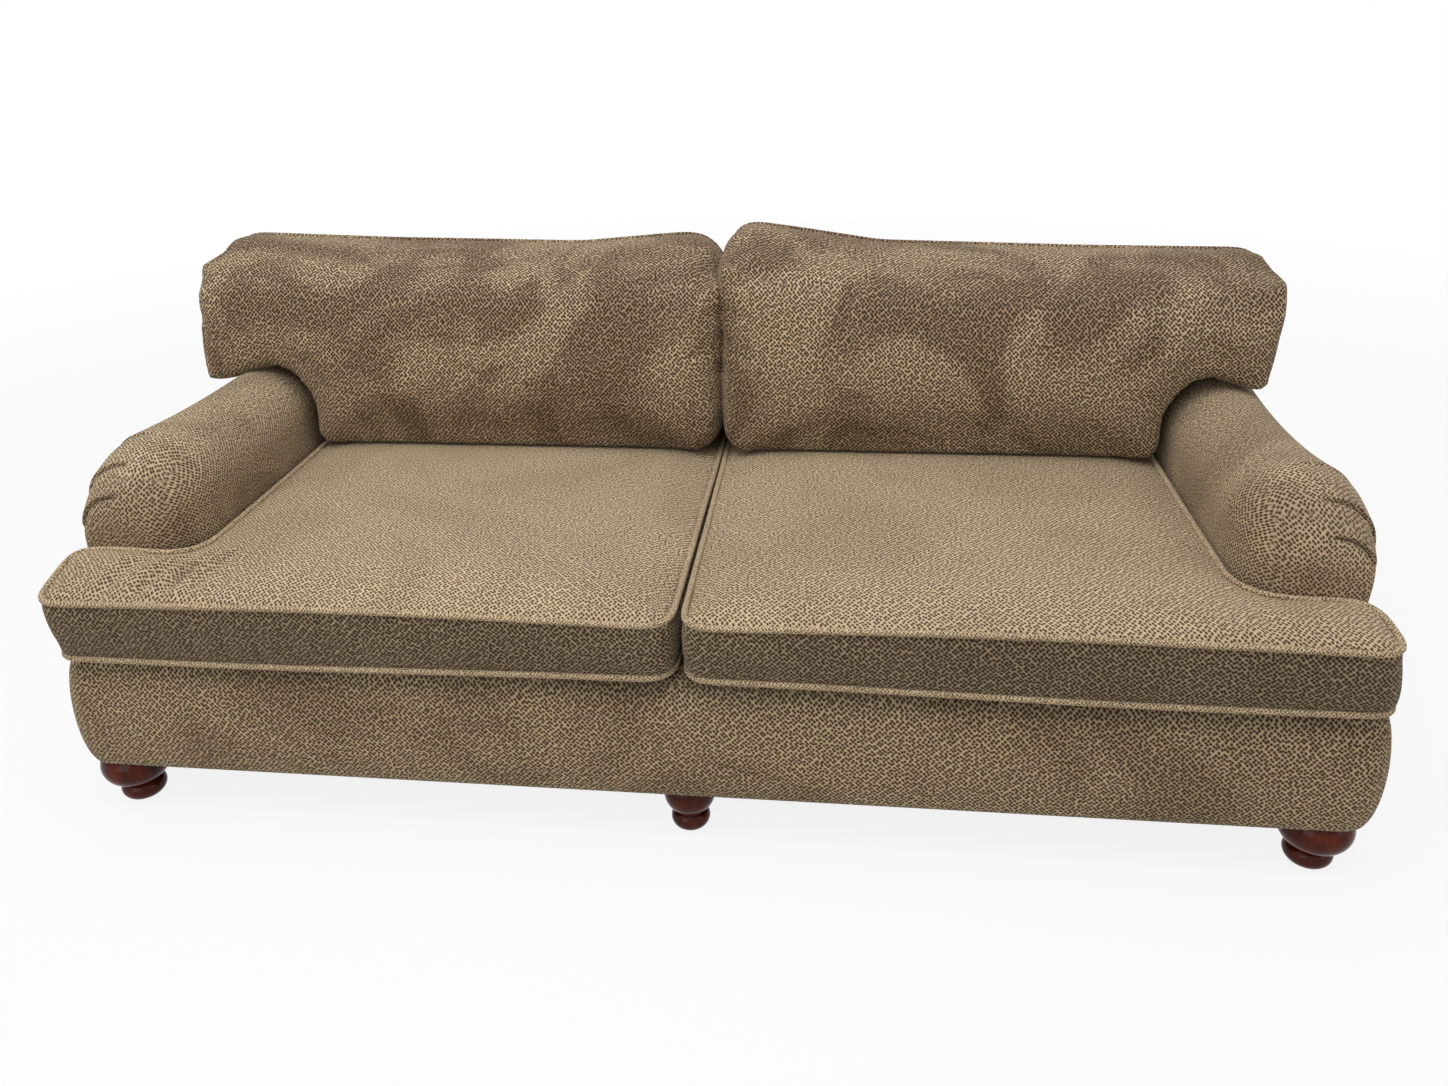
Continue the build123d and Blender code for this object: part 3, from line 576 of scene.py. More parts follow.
# %% [markdown]
# ## The front border
# The base below the seat is covered by one padded band that wraps round the two front corners and ends in a
# rounded seam on each side. A curve with a bevel profile could give it, but would need its corners cleaned up.
# Here a barrel-shaped profile is carried along a path: tucked under at the bottom, fullest below mid height and
# turned over at the top.

# %% Path of the border
border_low, border_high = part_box("front_border_cover")
BORDER_CORNER, BORDER_FLANK = 0.062, 0.095
END_ROUND, END_DRAWN = 0.030, 0.036
BORDER_SPREAD = (0.005, 0.012)
SPREAD_FROM = 0.6


def border_path():
    """Along the left side, round the corner, along the front, round the corner, and back on the right. Each side
    starts with a quarter ellipse that comes out from under the outside panel, and the ends are spread a little."""
    x, y = border_high.x, border_low.y
    r, end = BORDER_CORNER, ARM_FRONT + BORDER_FLANK
    turn_in = np.linspace(0, pi / 2, 12)
    flank = np.concatenate((end - END_ROUND * (1 - np.cos(turn_in)), np.linspace(end - END_ROUND, y + r, 12)[1:]))
    drawn = np.concatenate((END_DRAWN * (1 - np.sin(turn_in)), np.zeros(11)))
    turn = np.linspace(0, pi / 2, 15)[1:-1]
    half = np.concatenate((
        np.stack((x - drawn, flank), -1),
        np.stack((x - r + r * np.cos(turn), y + r - r * np.sin(turn)), -1),
        np.stack((np.linspace(x - r, 0, 66), np.full(66, y)), -1),
    ))
    path = np.concatenate((half * (-1, 1), half[-2::-1]))
    places = (-x, -SPREAD_FROM, SPREAD_FROM, x)
    path[:, 0] += np.interp(path[:, 0], places, (-BORDER_SPREAD[0], 0, 0, BORDER_SPREAD[1]))
    return path


print("border path has", len(border_path()), "points")

# %% Border band
BORDER_BARREL, BORDER_TUCK, BORDER_DRAW = 0.014, 0.005, 0.006
BORDER_LIFT, BORDER_HEM = 0.005, 0.004
SHOULDER_TURN = 0.026
TOP_DEPTHS, TOP_RISES = (-0.056, -0.064, -0.074, -0.084), (0.0015, 0.002, 0.0015, 0)
BACK_DEPTHS, HEM_DEPTH = (-0.086, -0.0865, -0.0875), -0.090


def make_border():
    """Depth of the profile by its height: a parabola for the barrel, less an exponential tuck at the foot and an
    exponential turn at the shoulder. The profile moves along the path's outward normal, and poles close it."""
    path = border_path()
    step = np.gradient(path, axis=0)
    step /= np.linalg.norm(step, axis=1, keepdims=True)
    out = np.stack((step[:, 1], -step[:, 0]), -1)
    low, top = border_low.z + BORDER_LIFT, border_high.z
    hem = low + BORDER_HEM
    rise = np.linspace(0, 1, 26)
    z = np.concatenate(([hem] * 2, low + (top - low) * rise, np.full(4, top) + TOP_RISES, np.full(3, hem)))
    swell = BORDER_BARREL * (1 - (2 * rise - 0.5) ** 2) - BORDER_DRAW
    foot = BORDER_TUCK * np.exp(-rise / 0.07)
    shoulder = SHOULDER_TURN * np.exp(-(1 - rise) / 0.055)
    depth = np.concatenate((
        [HEM_DEPTH, -BORDER_TUCK - BORDER_DRAW - 0.010], swell - foot - shoulder, TOP_DEPTHS, BACK_DEPTHS,
    ))
    plan = path[None] + depth[:, None, None] * out[None]
    points = np.concatenate((plan, np.broadcast_to(z[:, None, None], plan.shape[:2] + (1,))), -1)
    first = points[:, :1].mean(0, keepdims=True) + 0 * points[:, :1]
    last = points[:, -1:].mean(0, keepdims=True) + 0 * points[:, -1:]
    return grid_piece("front_border", np.concatenate((first, points, last), 1), border_cloth, wrap_rows=True)


border = make_border()
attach(border, "frame")
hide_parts("front_border_cover", "front_border_padding")
print("border", len(border.data.polygons), "faces")

# %% [markdown]
# ## Panels and linings
# Outside arms, outside back and the deck below the seat are thin padded panels, and a lining stands behind the
# back cushions. A box with a Bevel would have flat faces, which cloth over wadding never has. So each panel is a
# slab whose face rises from its edges along a quarter circle and swells slightly in the middle.

# %% Padded slab


def slab(name, low, high, axis, facing, edge, swell, finish, count=60):
    """Height over the slab = thickness x quarter circle of the distance to the edge x swell in the middle. The
    points lie closer together near the edges, along a sine."""
    across, along = [a for a in range(3) if a != axis]
    size = high - low
    bunch = np.sin(np.linspace(-1, 1, count) * pi / 2)
    u, v = np.meshgrid(bunch, bunch, indexing="ij")
    to_edge = np.minimum((1 - np.abs(u)) * size[across] / 2, (1 - np.abs(v)) * size[along] / 2)
    height = np.sqrt(np.clip(1 - (1 - np.clip(to_edge / edge, 0, 1)) ** 2, 0, 1))
    height = height * (1 + swell * (1 - u**2) * (1 - v**2))
    face, back = (low[axis], high[axis]) if facing < 0 else (high[axis], low[axis])
    layers = []
    for level in (height, 0 * height):
        points = np.empty(u.shape + (3,))
        points[..., across] = low[across] + (u + 1) / 2 * size[across]
        points[..., along] = low[along] + (v + 1) / 2 * size[along]
        points[..., axis] = back + (face - back) * level
        layers.append(points.reshape(-1, 3))
    faces = np.concatenate((grid_faces(count, count), grid_faces(count, count, count * count)[:, ::-1]))
    return put_mesh(name, np.concatenate(layers), faces, finish)


# %% Four panels
PANEL_DRAWN, PANEL_START = 0.005, 0.065
panels = (
    ("left_outside_panel", "left_outside_arm", 0, -1, 0.010, 0.25, border_cloth, "brown_chenille"),
    ("right_outside_panel", "right_outside_arm", 0, 1, 0.010, 0.25, border_cloth, "brown_chenille"),
    ("rear_panel", "outside_back", 1, 1, 0.012, 0.30, border_cloth, "brown_chenille"),
    ("seat_platform", "seat_deck", 2, 1, 0.016, 0.10, deck_cloth, "deck_cloth"),
)
for name, node, axis, facing, edge, swell, finish, cloth_slot in panels:
    low, high = (np.array(corner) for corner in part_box(node))
    if axis == 0:
        low[0], high[0] = low[0] - facing * PANEL_DRAWN, high[0] - facing * PANEL_DRAWN
        low[1] = ARM_FRONT + PANEL_START
    panel = slab(name, low, high, axis, facing, edge, swell, finish)
    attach(panel, "frame")
    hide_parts(node)
    print(name, len(panel.data.polygons), "faces")

# %% Lining of the back
lining_low, lining_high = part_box("inside_back")
LEAN = tan(radians(9.0))
SEAT_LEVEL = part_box("seat_deck")[1].z
LINING_SEAT = lining_low.y
LINING_ROUND, LINING_DRAW = 0.012, 0.006


def lining_y(z):
    """Front face of the lining: it leans back by nine degrees from the seat upwards."""
    return LINING_SEAT + (z - SEAT_LEVEL) * LEAN


def make_lining():
    """Profile in the YZ plane: up the leaning face, half an ellipse over the top, and down the rear. It is carried
    from side to side and shrinks towards its middle near the ends, exponentially."""
    top, rear = lining_high.z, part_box("outside_back")[0].y
    turn = np.linspace(0, pi, 15)
    half = (rear - lining_y(top)) / 2
    z_face = np.linspace(lining_low.z, top - LINING_ROUND, 24)
    y = np.concatenate((lining_y(z_face), lining_y(top) + half * (1 - np.cos(turn)), np.full(24, rear)))
    z = np.concatenate((z_face, top - LINING_ROUND + LINING_ROUND * np.sin(turn), z_face[::-1]))
    x = lining_high.x * np.sin(np.linspace(-pi / 2, pi / 2, 60))
    draw = LINING_DRAW * np.exp(-(lining_high.x - np.abs(x)) / LINING_DRAW)
    middle = np.array((y.mean(), z.mean()))
    spread = np.stack((y, z), -1) - middle
    length = np.linalg.norm(spread, axis=1, keepdims=True)
    section = middle + spread[None] * (1 - draw[:, None, None] / length[None])
    points = np.concatenate((np.broadcast_to(x[:, None, None], section.shape[:2] + (1,)), section), -1)
    ends = [points[i : i + 1].mean(1, keepdims=True) + 0 * points[:1] for i in (0, len(x) - 1)]
    return grid_piece("back_lining", np.concatenate((ends[0], points, ends[1])), frame_cloth, wrap_columns=True)


lining = make_lining()
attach(lining, "frame")
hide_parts("inside_back")
print("lining", len(lining.data.polygons), "faces")

# %% [markdown]
# ## Loose cushions
# A loose cushion is a sewn cover over foam or fibre. It could be modelled by formulas alone, but cloth finds its
# own small hollows along the seams better. So it starts as a prism of its outline, a voxel remesh gives it even
# quads, arrays of moves give it its crown and swollen sides, and a short cloth run with pressure inside lets the
# cover settle. The moves of the cloth are capped, so the cushion stays in the place that the frame gives it.

# %% Outlines with rounded corners


def rounded(corners, radii, count=14):
    """A closed outline: at each corner the arc of its radius that touches both neighbouring sides, as a blend of
    the arc's two ends by sines of the angle."""
    corners = np.asarray(corners, float)
    parts = []
    for before, corner, after, radius in zip(np.roll(corners, 1, 0), corners, np.roll(corners, -1, 0), radii):
        a, b = (before - corner), (after - corner)
        a, b = a / np.linalg.norm(a), b / np.linalg.norm(b)
        half = np.arccos(np.clip(a @ b, -1, 1)) / 2
        middle = corner + (a + b) / np.linalg.norm(a + b) * radius / np.sin(half)
        start, end = corner + a * radius / np.tan(half), corner + b * radius / np.tan(half)
        t = np.linspace(0, 1, count)[:, None]
        sweep = pi - 2 * half
        blend = (start - middle) * np.sin((1 - t) * sweep) + (end - middle) * np.sin(t * sweep)
        parts.append(middle + blend / np.sin(sweep))
    return np.concatenate(parts)


def even(outline, step):
    """The same closed outline with points at even distances."""
    loop = np.concatenate((outline, outline[:1]))
    run = np.concatenate(([0], np.cumsum(np.linalg.norm(np.diff(loop, axis=0), axis=1))))
    at = np.linspace(0, run[-1], int(run[-1] / step), endpoint=False)
    return np.stack([np.interp(at, run, loop[:, k]) for k in range(loop.shape[1])], -1)


# %% Distance to the outline
NEAREST_BATCH = 4000


def turning(outline):
    """1 for an outline that runs anticlockwise and -1 for the other way: the sign of its area."""
    after = np.roll(outline, -1, 0)
    return np.sign(np.sum(outline[:, 0] * after[:, 1] - outline[:, 1] * after[:, 0]))


def inset_and_normal(points, outline):
    """Distance of each point to the outline, and the outward direction of the nearest outline point."""
    inset = np.empty(len(points))
    normal = np.empty((len(points), 2))
    step = np.roll(outline, -1, 0) - np.roll(outline, 1, 0)
    step /= np.linalg.norm(step, axis=1, keepdims=True)
    out = turning(outline) * np.stack((step[:, 1], -step[:, 0]), -1)
    for part in np.array_split(np.arange(len(points)), max(1, len(points) // NEAREST_BATCH)):
        gap = np.linalg.norm(points[part, None] - outline[None], axis=2)
        near = gap.argmin(1)
        inset[part] = gap[np.arange(len(part)), near]
        normal[part] = out[near]
    return inset, normal


# %% Prism and remesh
VOXEL = 0.010


def mesh_points(piece):
    """The piece's points as an array with three columns."""
    flat = np.empty(len(piece.data.vertices) * 3)
    piece.data.vertices.foreach_get("co", flat)
    return flat.reshape(-1, 3)


def set_points(piece, points):
    """Put an array of points back into the piece."""
    piece.data.vertices.foreach_set("co", np.asarray(points, float).ravel())
    piece.data.update()


def apply_modifiers(piece):
    """Replace the mesh by what its modifiers make of it, and take the modifiers off."""
    bpy.context.view_layer.update()
    shown = piece.evaluated_get(bpy.context.evaluated_depsgraph_get())
    made = bpy.data.meshes.new_from_object(shown)
    old, piece.data = piece.data, made
    piece.modifiers.clear()
    name = old.name
    bpy.data.meshes.remove(old)
    made.name = name
    made.shade_smooth()


def prism(name, outline, low, high, to_space, finish):
    """The outline carried from low to high, placed by to_space and remeshed into even quads."""
    count = len(outline)
    depth = np.repeat((low, high), count)
    points = to_space(np.concatenate((outline, outline)), depth)
    ring = np.arange(count)
    sides = np.stack((ring, np.roll(ring, -1), np.roll(ring, -1) + count, ring + count), -1)
    faces = sides.tolist() + [ring[::-1].tolist(), (ring + count).tolist()]
    mesh = bpy.data.meshes.new(name)
    mesh.from_pydata(points.tolist(), [], faces)
    piece = bpy.data.objects.new(name, mesh)
    scene.collection.objects.link(piece)
    close_mesh(mesh)
    grid = piece.modifiers.new("even_quads", "REMESH")
    grid.mode, grid.voxel_size = "VOXEL", VOXEL
    apply_modifiers(piece)
    piece.data.materials.append(finish)
    return piece


# %% Cloth run
PRESSURE, CLOTH_FRAMES = 2.5, 20


def settle(piece, pinned, slack, cap):
    """Cloth with pressure and a little extra cloth, held at the pinned points. Moves fade out at the cap: length
    = cap x tanh of the length over the cap."""
    before = mesh_points(piece)
    group = piece.vertex_groups.new(name="seam")
    for level in np.unique(np.round(pinned, 1)):
        group.add(np.flatnonzero(np.round(pinned, 1) == level).tolist(), float(level), "REPLACE")
    cloth = piece.modifiers.new("cloth", "CLOTH")
    cloth.settings.quality = 5
    cloth.settings.mass = 0.4
    cloth.settings.tension_stiffness = 12
    cloth.settings.compression_stiffness = 12
    cloth.settings.shear_stiffness = 5
    cloth.settings.bending_stiffness = 1.5
    cloth.settings.shrink_min = -slack
    cloth.settings.use_pressure = True
    cloth.settings.uniform_pressure_force = PRESSURE
    cloth.settings.effector_weights.gravity = 0
    cloth.settings.vertex_group_mass = "seam"
    cloth.collision_settings.use_collision = False
    cloth.point_cache.frame_start, cloth.point_cache.frame_end = 1, CLOTH_FRAMES
    for number in range(1, CLOTH_FRAMES + 1):
        scene.frame_set(number)
    apply_modifiers(piece)
    scene.frame_set(1)
    move = mesh_points(piece) - before
    length = np.linalg.norm(move, axis=1, keepdims=True) + 1e-9
    set_points(piece, before + move * (cap * np.tanh(length / cap) / length))
    piece.vertex_groups.clear()
    print(piece.name, "moved", round(float(length.max()) * 1000, 1), "mm at most before the cap")
    return before


def soften(piece):
    """One subdivision, the same on screen and in the render."""
    smooth = piece.modifiers.new("soft", "SUBSURF")
    smooth.levels = smooth.render_levels = 1


# %% [markdown]
# ## Welts
# A welt is a cord sewn into a seam under a strip of the cover cloth. It could be a curve with a round bevel, but
# it has to follow the cushion as the cloth settled. So its path moves with the nearest points of the cushion,
# is smoothed, and carries a circle.

# %% Welt round a closed path
WELT_RADIUS = 0.0056
FOLLOW_BATCH, FOLLOW_NEAR = 200, 6


def follow(path, before, after):
    """Move each point of a path by the mean move of the nearest points of a cushion."""
    moved = np.empty_like(path)
    for part in np.array_split(np.arange(len(path)), max(1, len(path) // FOLLOW_BATCH)):
        gap = np.linalg.norm(path[part, None] - before[None], axis=2)
        pick = np.argpartition(gap, FOLLOW_NEAR, axis=1)[:, :FOLLOW_NEAR]
        moved[part] = path[part] + (after[pick] - before[pick]).mean(1)
    return moved


def smooth_path(path, rounds=4):
    """Average each point of a closed path with its neighbours: a quarter, a half and a quarter."""
    for _ in range(rounds):
        path = 0.25 * np.roll(path, 1, 0) + 0.5 * path + 0.25 * np.roll(path, -1, 0)
    return path


def stand_out(path, distance):
    """Move a closed level path outwards, across its own run."""
    run = np.roll(path, -1, 0) - np.roll(path, 1, 0)
    out = np.stack((run[:, 1], -run[:, 0], 0 * run[:, 0]), -1) * turning(path)
    return path + distance * out / np.linalg.norm(out, axis=1, keepdims=True)


def tube(name, path, finish, aside, count=10):
    """A round cord: circles across a closed path, with one spoke turned towards `aside`."""
    run = np.roll(path, -1, 0) - np.roll(path, 1, 0)
    run /= np.linalg.norm(run, axis=1, keepdims=True)
    spoke = np.cross(run, aside)
    spoke /= np.linalg.norm(spoke, axis=1, keepdims=True)
    other = np.cross(run, spoke)
    turn = np.linspace(0, 2 * pi, count, endpoint=False)
    ring = np.cos(turn)[None, :, None] * spoke[:, None] + np.sin(turn)[None, :, None] * other[:, None]
    return grid_piece(name, path[:, None] + WELT_RADIUS * ring, finish, wrap_rows=True, wrap_columns=True)


# %% [markdown]
# ## Seat cushions
# A boxed cushion: a flat band all round, a crowned top and bottom panel, and a welt sewn into each seam. The
# front corner reaches out in an ear before the arm. A plain crowned box would miss the ear's creases and the
# slack seams, so after the outline come shared moves for the cushion and its welts, and grooves for the creases.

# %% Seat sizes from the frame
seat_low, seat_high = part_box("right_seat_cover")
welt_low, welt_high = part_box("right_seat_welts")
SEAT_INNER, SEAT_OUTER = seat_low.x, seat_high.x
SEAT_FRONT, SEAT_REAR = seat_low.y + 0.005, seat_high.y - 0.004
SEAT_BODY, SEAT_EAR = ARM_INNER - 0.012, ARM_FRONT - 0.012
BOXING_LOW, BOXING_TOP = welt_low.z + 0.0075, welt_high.z + 0.004
SEAT_CLEAR = 0.006
OUTLINE_STEP = 0.012
# The two seats aren't alike: how far each ear spreads, leans, rises and is rounded.
SEAT_SPREAD = {"left": 0.010, "right": 0.013}
EAR_LEAN = {"left": 0.002, "right": -0.007}
EAR_RISE = {"left": 0.028, "right": 0.006}
EAR_CORNER = {"left": 0.022, "right": 0.034}


def seat_outline(hand, side):
    """Plan of the cushion: a rectangle with an ear at its front outer corner, all corners rounded."""
    inner, outer = SEAT_INNER + SEAT_CLEAR, SEAT_OUTER + SEAT_SPREAD[hand]
    corners = ((inner + 0.003, SEAT_FRONT), (outer, SEAT_FRONT), (outer, SEAT_EAR),
               (SEAT_BODY, SEAT_EAR), (SEAT_BODY, SEAT_REAR), (inner, SEAT_REAR))
    outline = rounded(corners, (0.036, 0.034, EAR_CORNER[hand], 0.085, 0.034, 0.030))
    return even(outline * (side, 1), OUTLINE_STEP)


def on_level(plan, depth):
    """Outline points are (x, y); depth is the height."""
    return np.concatenate((plan, depth[:, None]), 1)


print("seat outline has", len(seat_outline("right", 1)), "points")

# %% Moves of the seat
SEAM_ARCH, SEAM_LIFT = 0.008, 0.010


def dome(inset, reach):
    """A quarter ellipse: 0 at the edge, 1 from the reach inwards."""
    return np.sqrt(np.clip(1 - (1 - np.clip(inset / reach, 0, 1)) ** 2, 0, 1))


def seat_shape(points, hand, side):
    """Moves that both the cushion and its welts share: the seams rise towards the middle of the front, the end
    of the ear leans, and the lower seam lifts off the border near the middle of the sofa."""
    x, y, z = side * points[:, 0], points[:, 1], points[:, 2]
    raised = ease(z, BOXING_LOW, BOXING_TOP)
    arch = SEAM_ARCH * np.sin(pi * np.clip(x / SEAT_OUTER, 0, 1)) * ease(-y, -0.10, 0.45)
    lift = SEAM_LIFT * (1 - ease(x, 0.05, 0.80)) * ease(-y, 0.25, 0.48) * (1 - raised)
    lean = EAR_LEAN[hand] * (2 * raised - 1) * ease(x, SEAT_OUTER - 0.10, SEAT_OUTER)
    ear = EAR_RISE[hand] * ease(x, SEAT_BODY - 0.05, SEAT_OUTER - 0.08) * ease(y, SEAT_FRONT, SEAT_EAR)
    return points + np.stack((side * lean, 0 * x, (arch + ear) * raised + lift), -1)


# %% Creases of the ears
# Each crease runs from one place in the plan to another, with its depth as a share.
CREASES = {
    "left": (
        (-0.985, -0.488, -0.950, -0.375, 0.7), (-0.920, -0.486, -0.885, -0.350, 1.0),
        (-0.872, -0.484, -0.838, -0.320, 1.0), (-0.825, -0.480, -0.795, -0.290, 0.8),
    ),
    "right": ((0.905, -0.460, 0.880, -0.340, 0.35),),
}
GROOVE_DEPTH, GROOVE_WIDTH = 0.0140, 0.0100
RIDGE_HEIGHT, RIDGE_PLACE, RIDGE_WIDTH = 0.0065, 0.020, 0.011


def crease(points, hand):
    """Each crease is a groove of Gaussian section along a line in the plan, between two low ridges."""
    drop = np.zeros(len(points))
    for x0, y0, x1, y1, depth in CREASES[hand]:
        start, run = np.array((x0, y0)), np.array((x1 - x0, y1 - y0))
        t = (points[:, :2] - start) @ run / (run @ run)
        off = np.linalg.norm(points[:, :2] - start - np.clip(t, 0, 1)[:, None] * run, axis=1)
        fade = ease(t, -0.05, 0.30) * (1 - ease(t, 0.60, 1.10))
        ridge = RIDGE_HEIGHT * np.exp(-(((off - RIDGE_PLACE) / RIDGE_WIDTH) ** 2))
        drop += depth * fade * (ridge - GROOVE_DEPTH * np.exp(-((off / GROOVE_WIDTH) ** 2)))
    return drop * ease(points[:, 2], BOXING_TOP - 0.01, BOXING_TOP + 0.003)


# %% One seat cushion
SEAT_CROWN, BOXING_SWELL = 0.016, 0.005
SEAM_WIDTH = 0.012
SEAT_SLACK, SEAT_CAP = 0.012, 0.010


def make_seat(hand, side):
    """Crown = two quarter ellipses of the distance to the edge, lower at the rear and less below; the boxing
    swells by a parabola of its height. Then the cloth settles and the creases are pressed in."""
    outline = seat_outline(hand, side)
    piece = prism(f"{hand}_seat_cushion_soft", outline, BOXING_LOW, BOXING_TOP, on_level, seat_cloth)
    points = mesh_points(piece)
    inset, out = inset_and_normal(points[:, :2], outline)
    middle = (BOXING_LOW + BOXING_TOP) / 2
    level = np.clip((points[:, 2] - middle) / (BOXING_TOP - middle), -1, 1)
    rear = ease(points[:, 1], 0.05, SEAT_REAR)
    crown = SEAT_CROWN * (0.55 * dome(inset, 0.10) + 0.45 * dome(inset, 0.34)) * (1 - 0.45 * rear)
    points[:, 2] += np.where(level > 0, crown * np.abs(level) ** 0.5, -0.30 * crown * np.abs(level) ** 0.5)
    swell = BOXING_SWELL * (1 - level**2) * np.exp(-((inset / 0.02) ** 2))
    points[:, :2] += swell[:, None] * out
    set_points(piece, seat_shape(points, hand, side))
    seam = np.exp(-((inset / SEAM_WIDTH) ** 2)) * ease(np.abs(level), 0.75, 0.95)
    before = settle(piece, np.clip(seam, 0, 1), SEAT_SLACK, SEAT_CAP)
    after = mesh_points(piece)
    after[:, 2] += crease(after, hand)
    set_points(piece, after)
    soften(piece)
    return piece, outline, before, after


# %% Both seats with their welts
WELT_STAND_OUT = 0.0012
for hand, side in SIDES:
    cushion, outline, before, after = make_seat(hand, side)
    body = f"{hand}_seat_cushion"
    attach(cushion, body)
    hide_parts(f"{hand}_seat_cover", f"{hand}_seat_core")
    for place, level in (("top", BOXING_TOP), ("bottom", BOXING_LOW)):
        path = seat_shape(on_level(outline, np.full(len(outline), level)), hand, side)
        path = stand_out(smooth_path(follow(path, before, after)), WELT_STAND_OUT)
        # The welt cloth is lighter than the seat cloth: a painted highlight along the cords.
        welt = tube(f"{hand}_seat_{place}_welt", path, lit_welt_cloth, np.array((0, 0, 1.0)))
        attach(welt, body)
    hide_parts(f"{hand}_seat_welts")
    print("seat", hand, len(cushion.data.polygons), "faces")

# %% [markdown]
# ## Back cushions
# A soft cushion without boxing at the front: the front panel bellies forward, rolls over the top and meets a
# welt at the rear edge. Its ear rests on the arm. It could be built upright and turned, but then its place would
# sit in the object and not in the mesh. So depth is measured forwards from the leaning lining.

# %% Back sizes from the frame
back_low, back_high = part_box("right_back_cover")
BACK_INNER, BACK_OUTER = back_low.x, back_high.x
BACK_BOTTOM, BACK_TOP = back_low.z, back_high.z - 0.022
BACK_BODY, BACK_EAR = ARM_INNER - 0.015, arm_high.z + 0.010
BACK_GAP = 0.004
# The two backs aren't alike: how far each end spreads, leans and sags, and how its inner corner is rounded.
BACK_SPREAD = {"left": 0.018, "right": -0.018}
BACK_LEAN = {"left": -0.010, "right": 0.008}
EAR_SAG = {"left": -0.042, "right": -0.040}
BACK_CORNER = {"left": 0.085, "right": 0.055}


def leaning(plan, depth):
    """Outline points are (x, z); depth goes forwards from the lining."""
    return np.stack((plan[:, 0], lining_y(plan[:, 1]) - BACK_GAP - depth, plan[:, 1]), -1)


def back_outline(hand, side):
    """Front view of the cushion: a rectangle with an ear over the arm, all corners rounded."""
    outer = BACK_OUTER + BACK_SPREAD[hand]
    corners = ((BACK_INNER, BACK_BOTTOM), (BACK_BODY, BACK_BOTTOM), (BACK_BODY, BACK_EAR),
               (outer, BACK_EAR), (outer, BACK_TOP), (BACK_INNER, BACK_TOP))
    outline = rounded(corners, (0.050, 0.030, 0.110, 0.024, 0.034, BACK_CORNER[hand]))
    return even(outline * (side, 1), OUTLINE_STEP)


print("back outline has", len(back_outline("right", 1)), "points")

# %% Moves of the back
TOP_PLACES = (0.0, 0.15, 0.32, 0.74, 1.05)
TOP_LEVELS = {
    "left": (0.015, 0.005, -0.009, -0.001, 0.010),
    "right": (0.038, 0.018, -0.008, -0.020, -0.025),
}


def back_height(z):
    """0 at the bottom of the cushion, 1 at its top."""
    return (z - BACK_BOTTOM) / (BACK_TOP - BACK_BOTTOM)


def back_shape(points, hand):
    """Moves that the cushion and its welt share: the top edge rises and falls along X, an ear sags and its end
    leans."""
    x, height = np.abs(points[:, 0]), back_height(points[:, 2])
    rise = np.interp(x, TOP_PLACES, TOP_LEVELS[hand]) * ease(height, 0.55, 1.0)
    at_end = ease(x, BACK_BODY + 0.04, BACK_OUTER)
    sag = EAR_SAG[hand] * at_end * (1 - ease(height, 0.4, 0.9))
    lean = BACK_LEAN[hand] * (2 * ease(height, 0.4, 1.0) - 1) * at_end
    return points + np.stack((np.sign(points[:, 0]) * lean, 0 * x, rise + sag), -1)


# %% One back cushion
BACK_EDGE_REAR, BACK_EDGE_FRONT, BACK_BELLY = 0.030, 0.232, 0.266
BELLY_LESS_TOP, BELLY_LESS_FOOT, EDGE_LESS_TOP = 0.055, 0.012, 0.095
EDGE_SWELL, TOP_DROP = 0.009, 0.020
BACK_SLACK, BACK_CAP = 0.008, 0.012


def make_back(hand, side):
    """Depth of the front = edge to belly along two quarter ellipses of the distance to the outline, with both
    thinner towards the top; depth of the rear = its edge, rounded off. Then the cloth settles."""
    outline = back_outline(hand, side)
    piece = prism(f"{hand}_back_cushion_soft", outline, BACK_EDGE_REAR, BACK_EDGE_FRONT, leaning, back_cloth)
    points = mesh_points(piece)
    plan = points[:, ::2].copy()
    inset, out = inset_and_normal(plan, outline)
    depth = lining_y(plan[:, 1]) - BACK_GAP - points[:, 1]
    level = np.clip((depth - BACK_EDGE_REAR) / (BACK_EDGE_FRONT - BACK_EDGE_REAR), 0, 1)
    height = back_height(plan[:, 1])
    belly = BACK_BELLY - BELLY_LESS_TOP * ease(height, 0.35, 1.05) - BELLY_LESS_FOOT * (1 - ease(height, 0.0, 0.30))
    thinner = ease(height, 0.75, 1.0) * (0.5 + 0.5 * ease(out[:, 1], 0.3, 0.8))
    edge = BACK_EDGE_FRONT - EDGE_LESS_TOP * thinner
    belly = np.maximum(belly, edge)
    front = edge + (belly - edge) * (0.7 * dome(inset, 0.08) + 0.3 * dome(inset, 0.24))
    rear = BACK_EDGE_REAR * (1 - dome(inset, 0.05))
    points[:, 1] = lining_y(plan[:, 1]) - BACK_GAP - (rear + level * (front - rear))
    swell = EDGE_SWELL * (1 - (2 * level - 1) ** 2) * np.exp(-((inset / 0.03) ** 2))
    drop = -TOP_DROP * ease(level, 0.45, 1.0) * np.exp(-((inset / 0.05) ** 2)) * ease(out[:, 1], 0.2, 0.6)
    points[:, 0] += swell * out[:, 0]
    points[:, 2] += swell * out[:, 1] * (out[:, 1] > -0.5) * 0.4 + drop
    set_points(piece, back_shape(points, hand))
    seam = np.exp(-((inset / SEAM_WIDTH) ** 2)) * (1 - ease(level, 0.05, 0.2))
    before = settle(piece, np.clip(seam, 0, 1), BACK_SLACK, BACK_CAP)
    soften(piece)
    return piece, outline, before, mesh_points(piece)


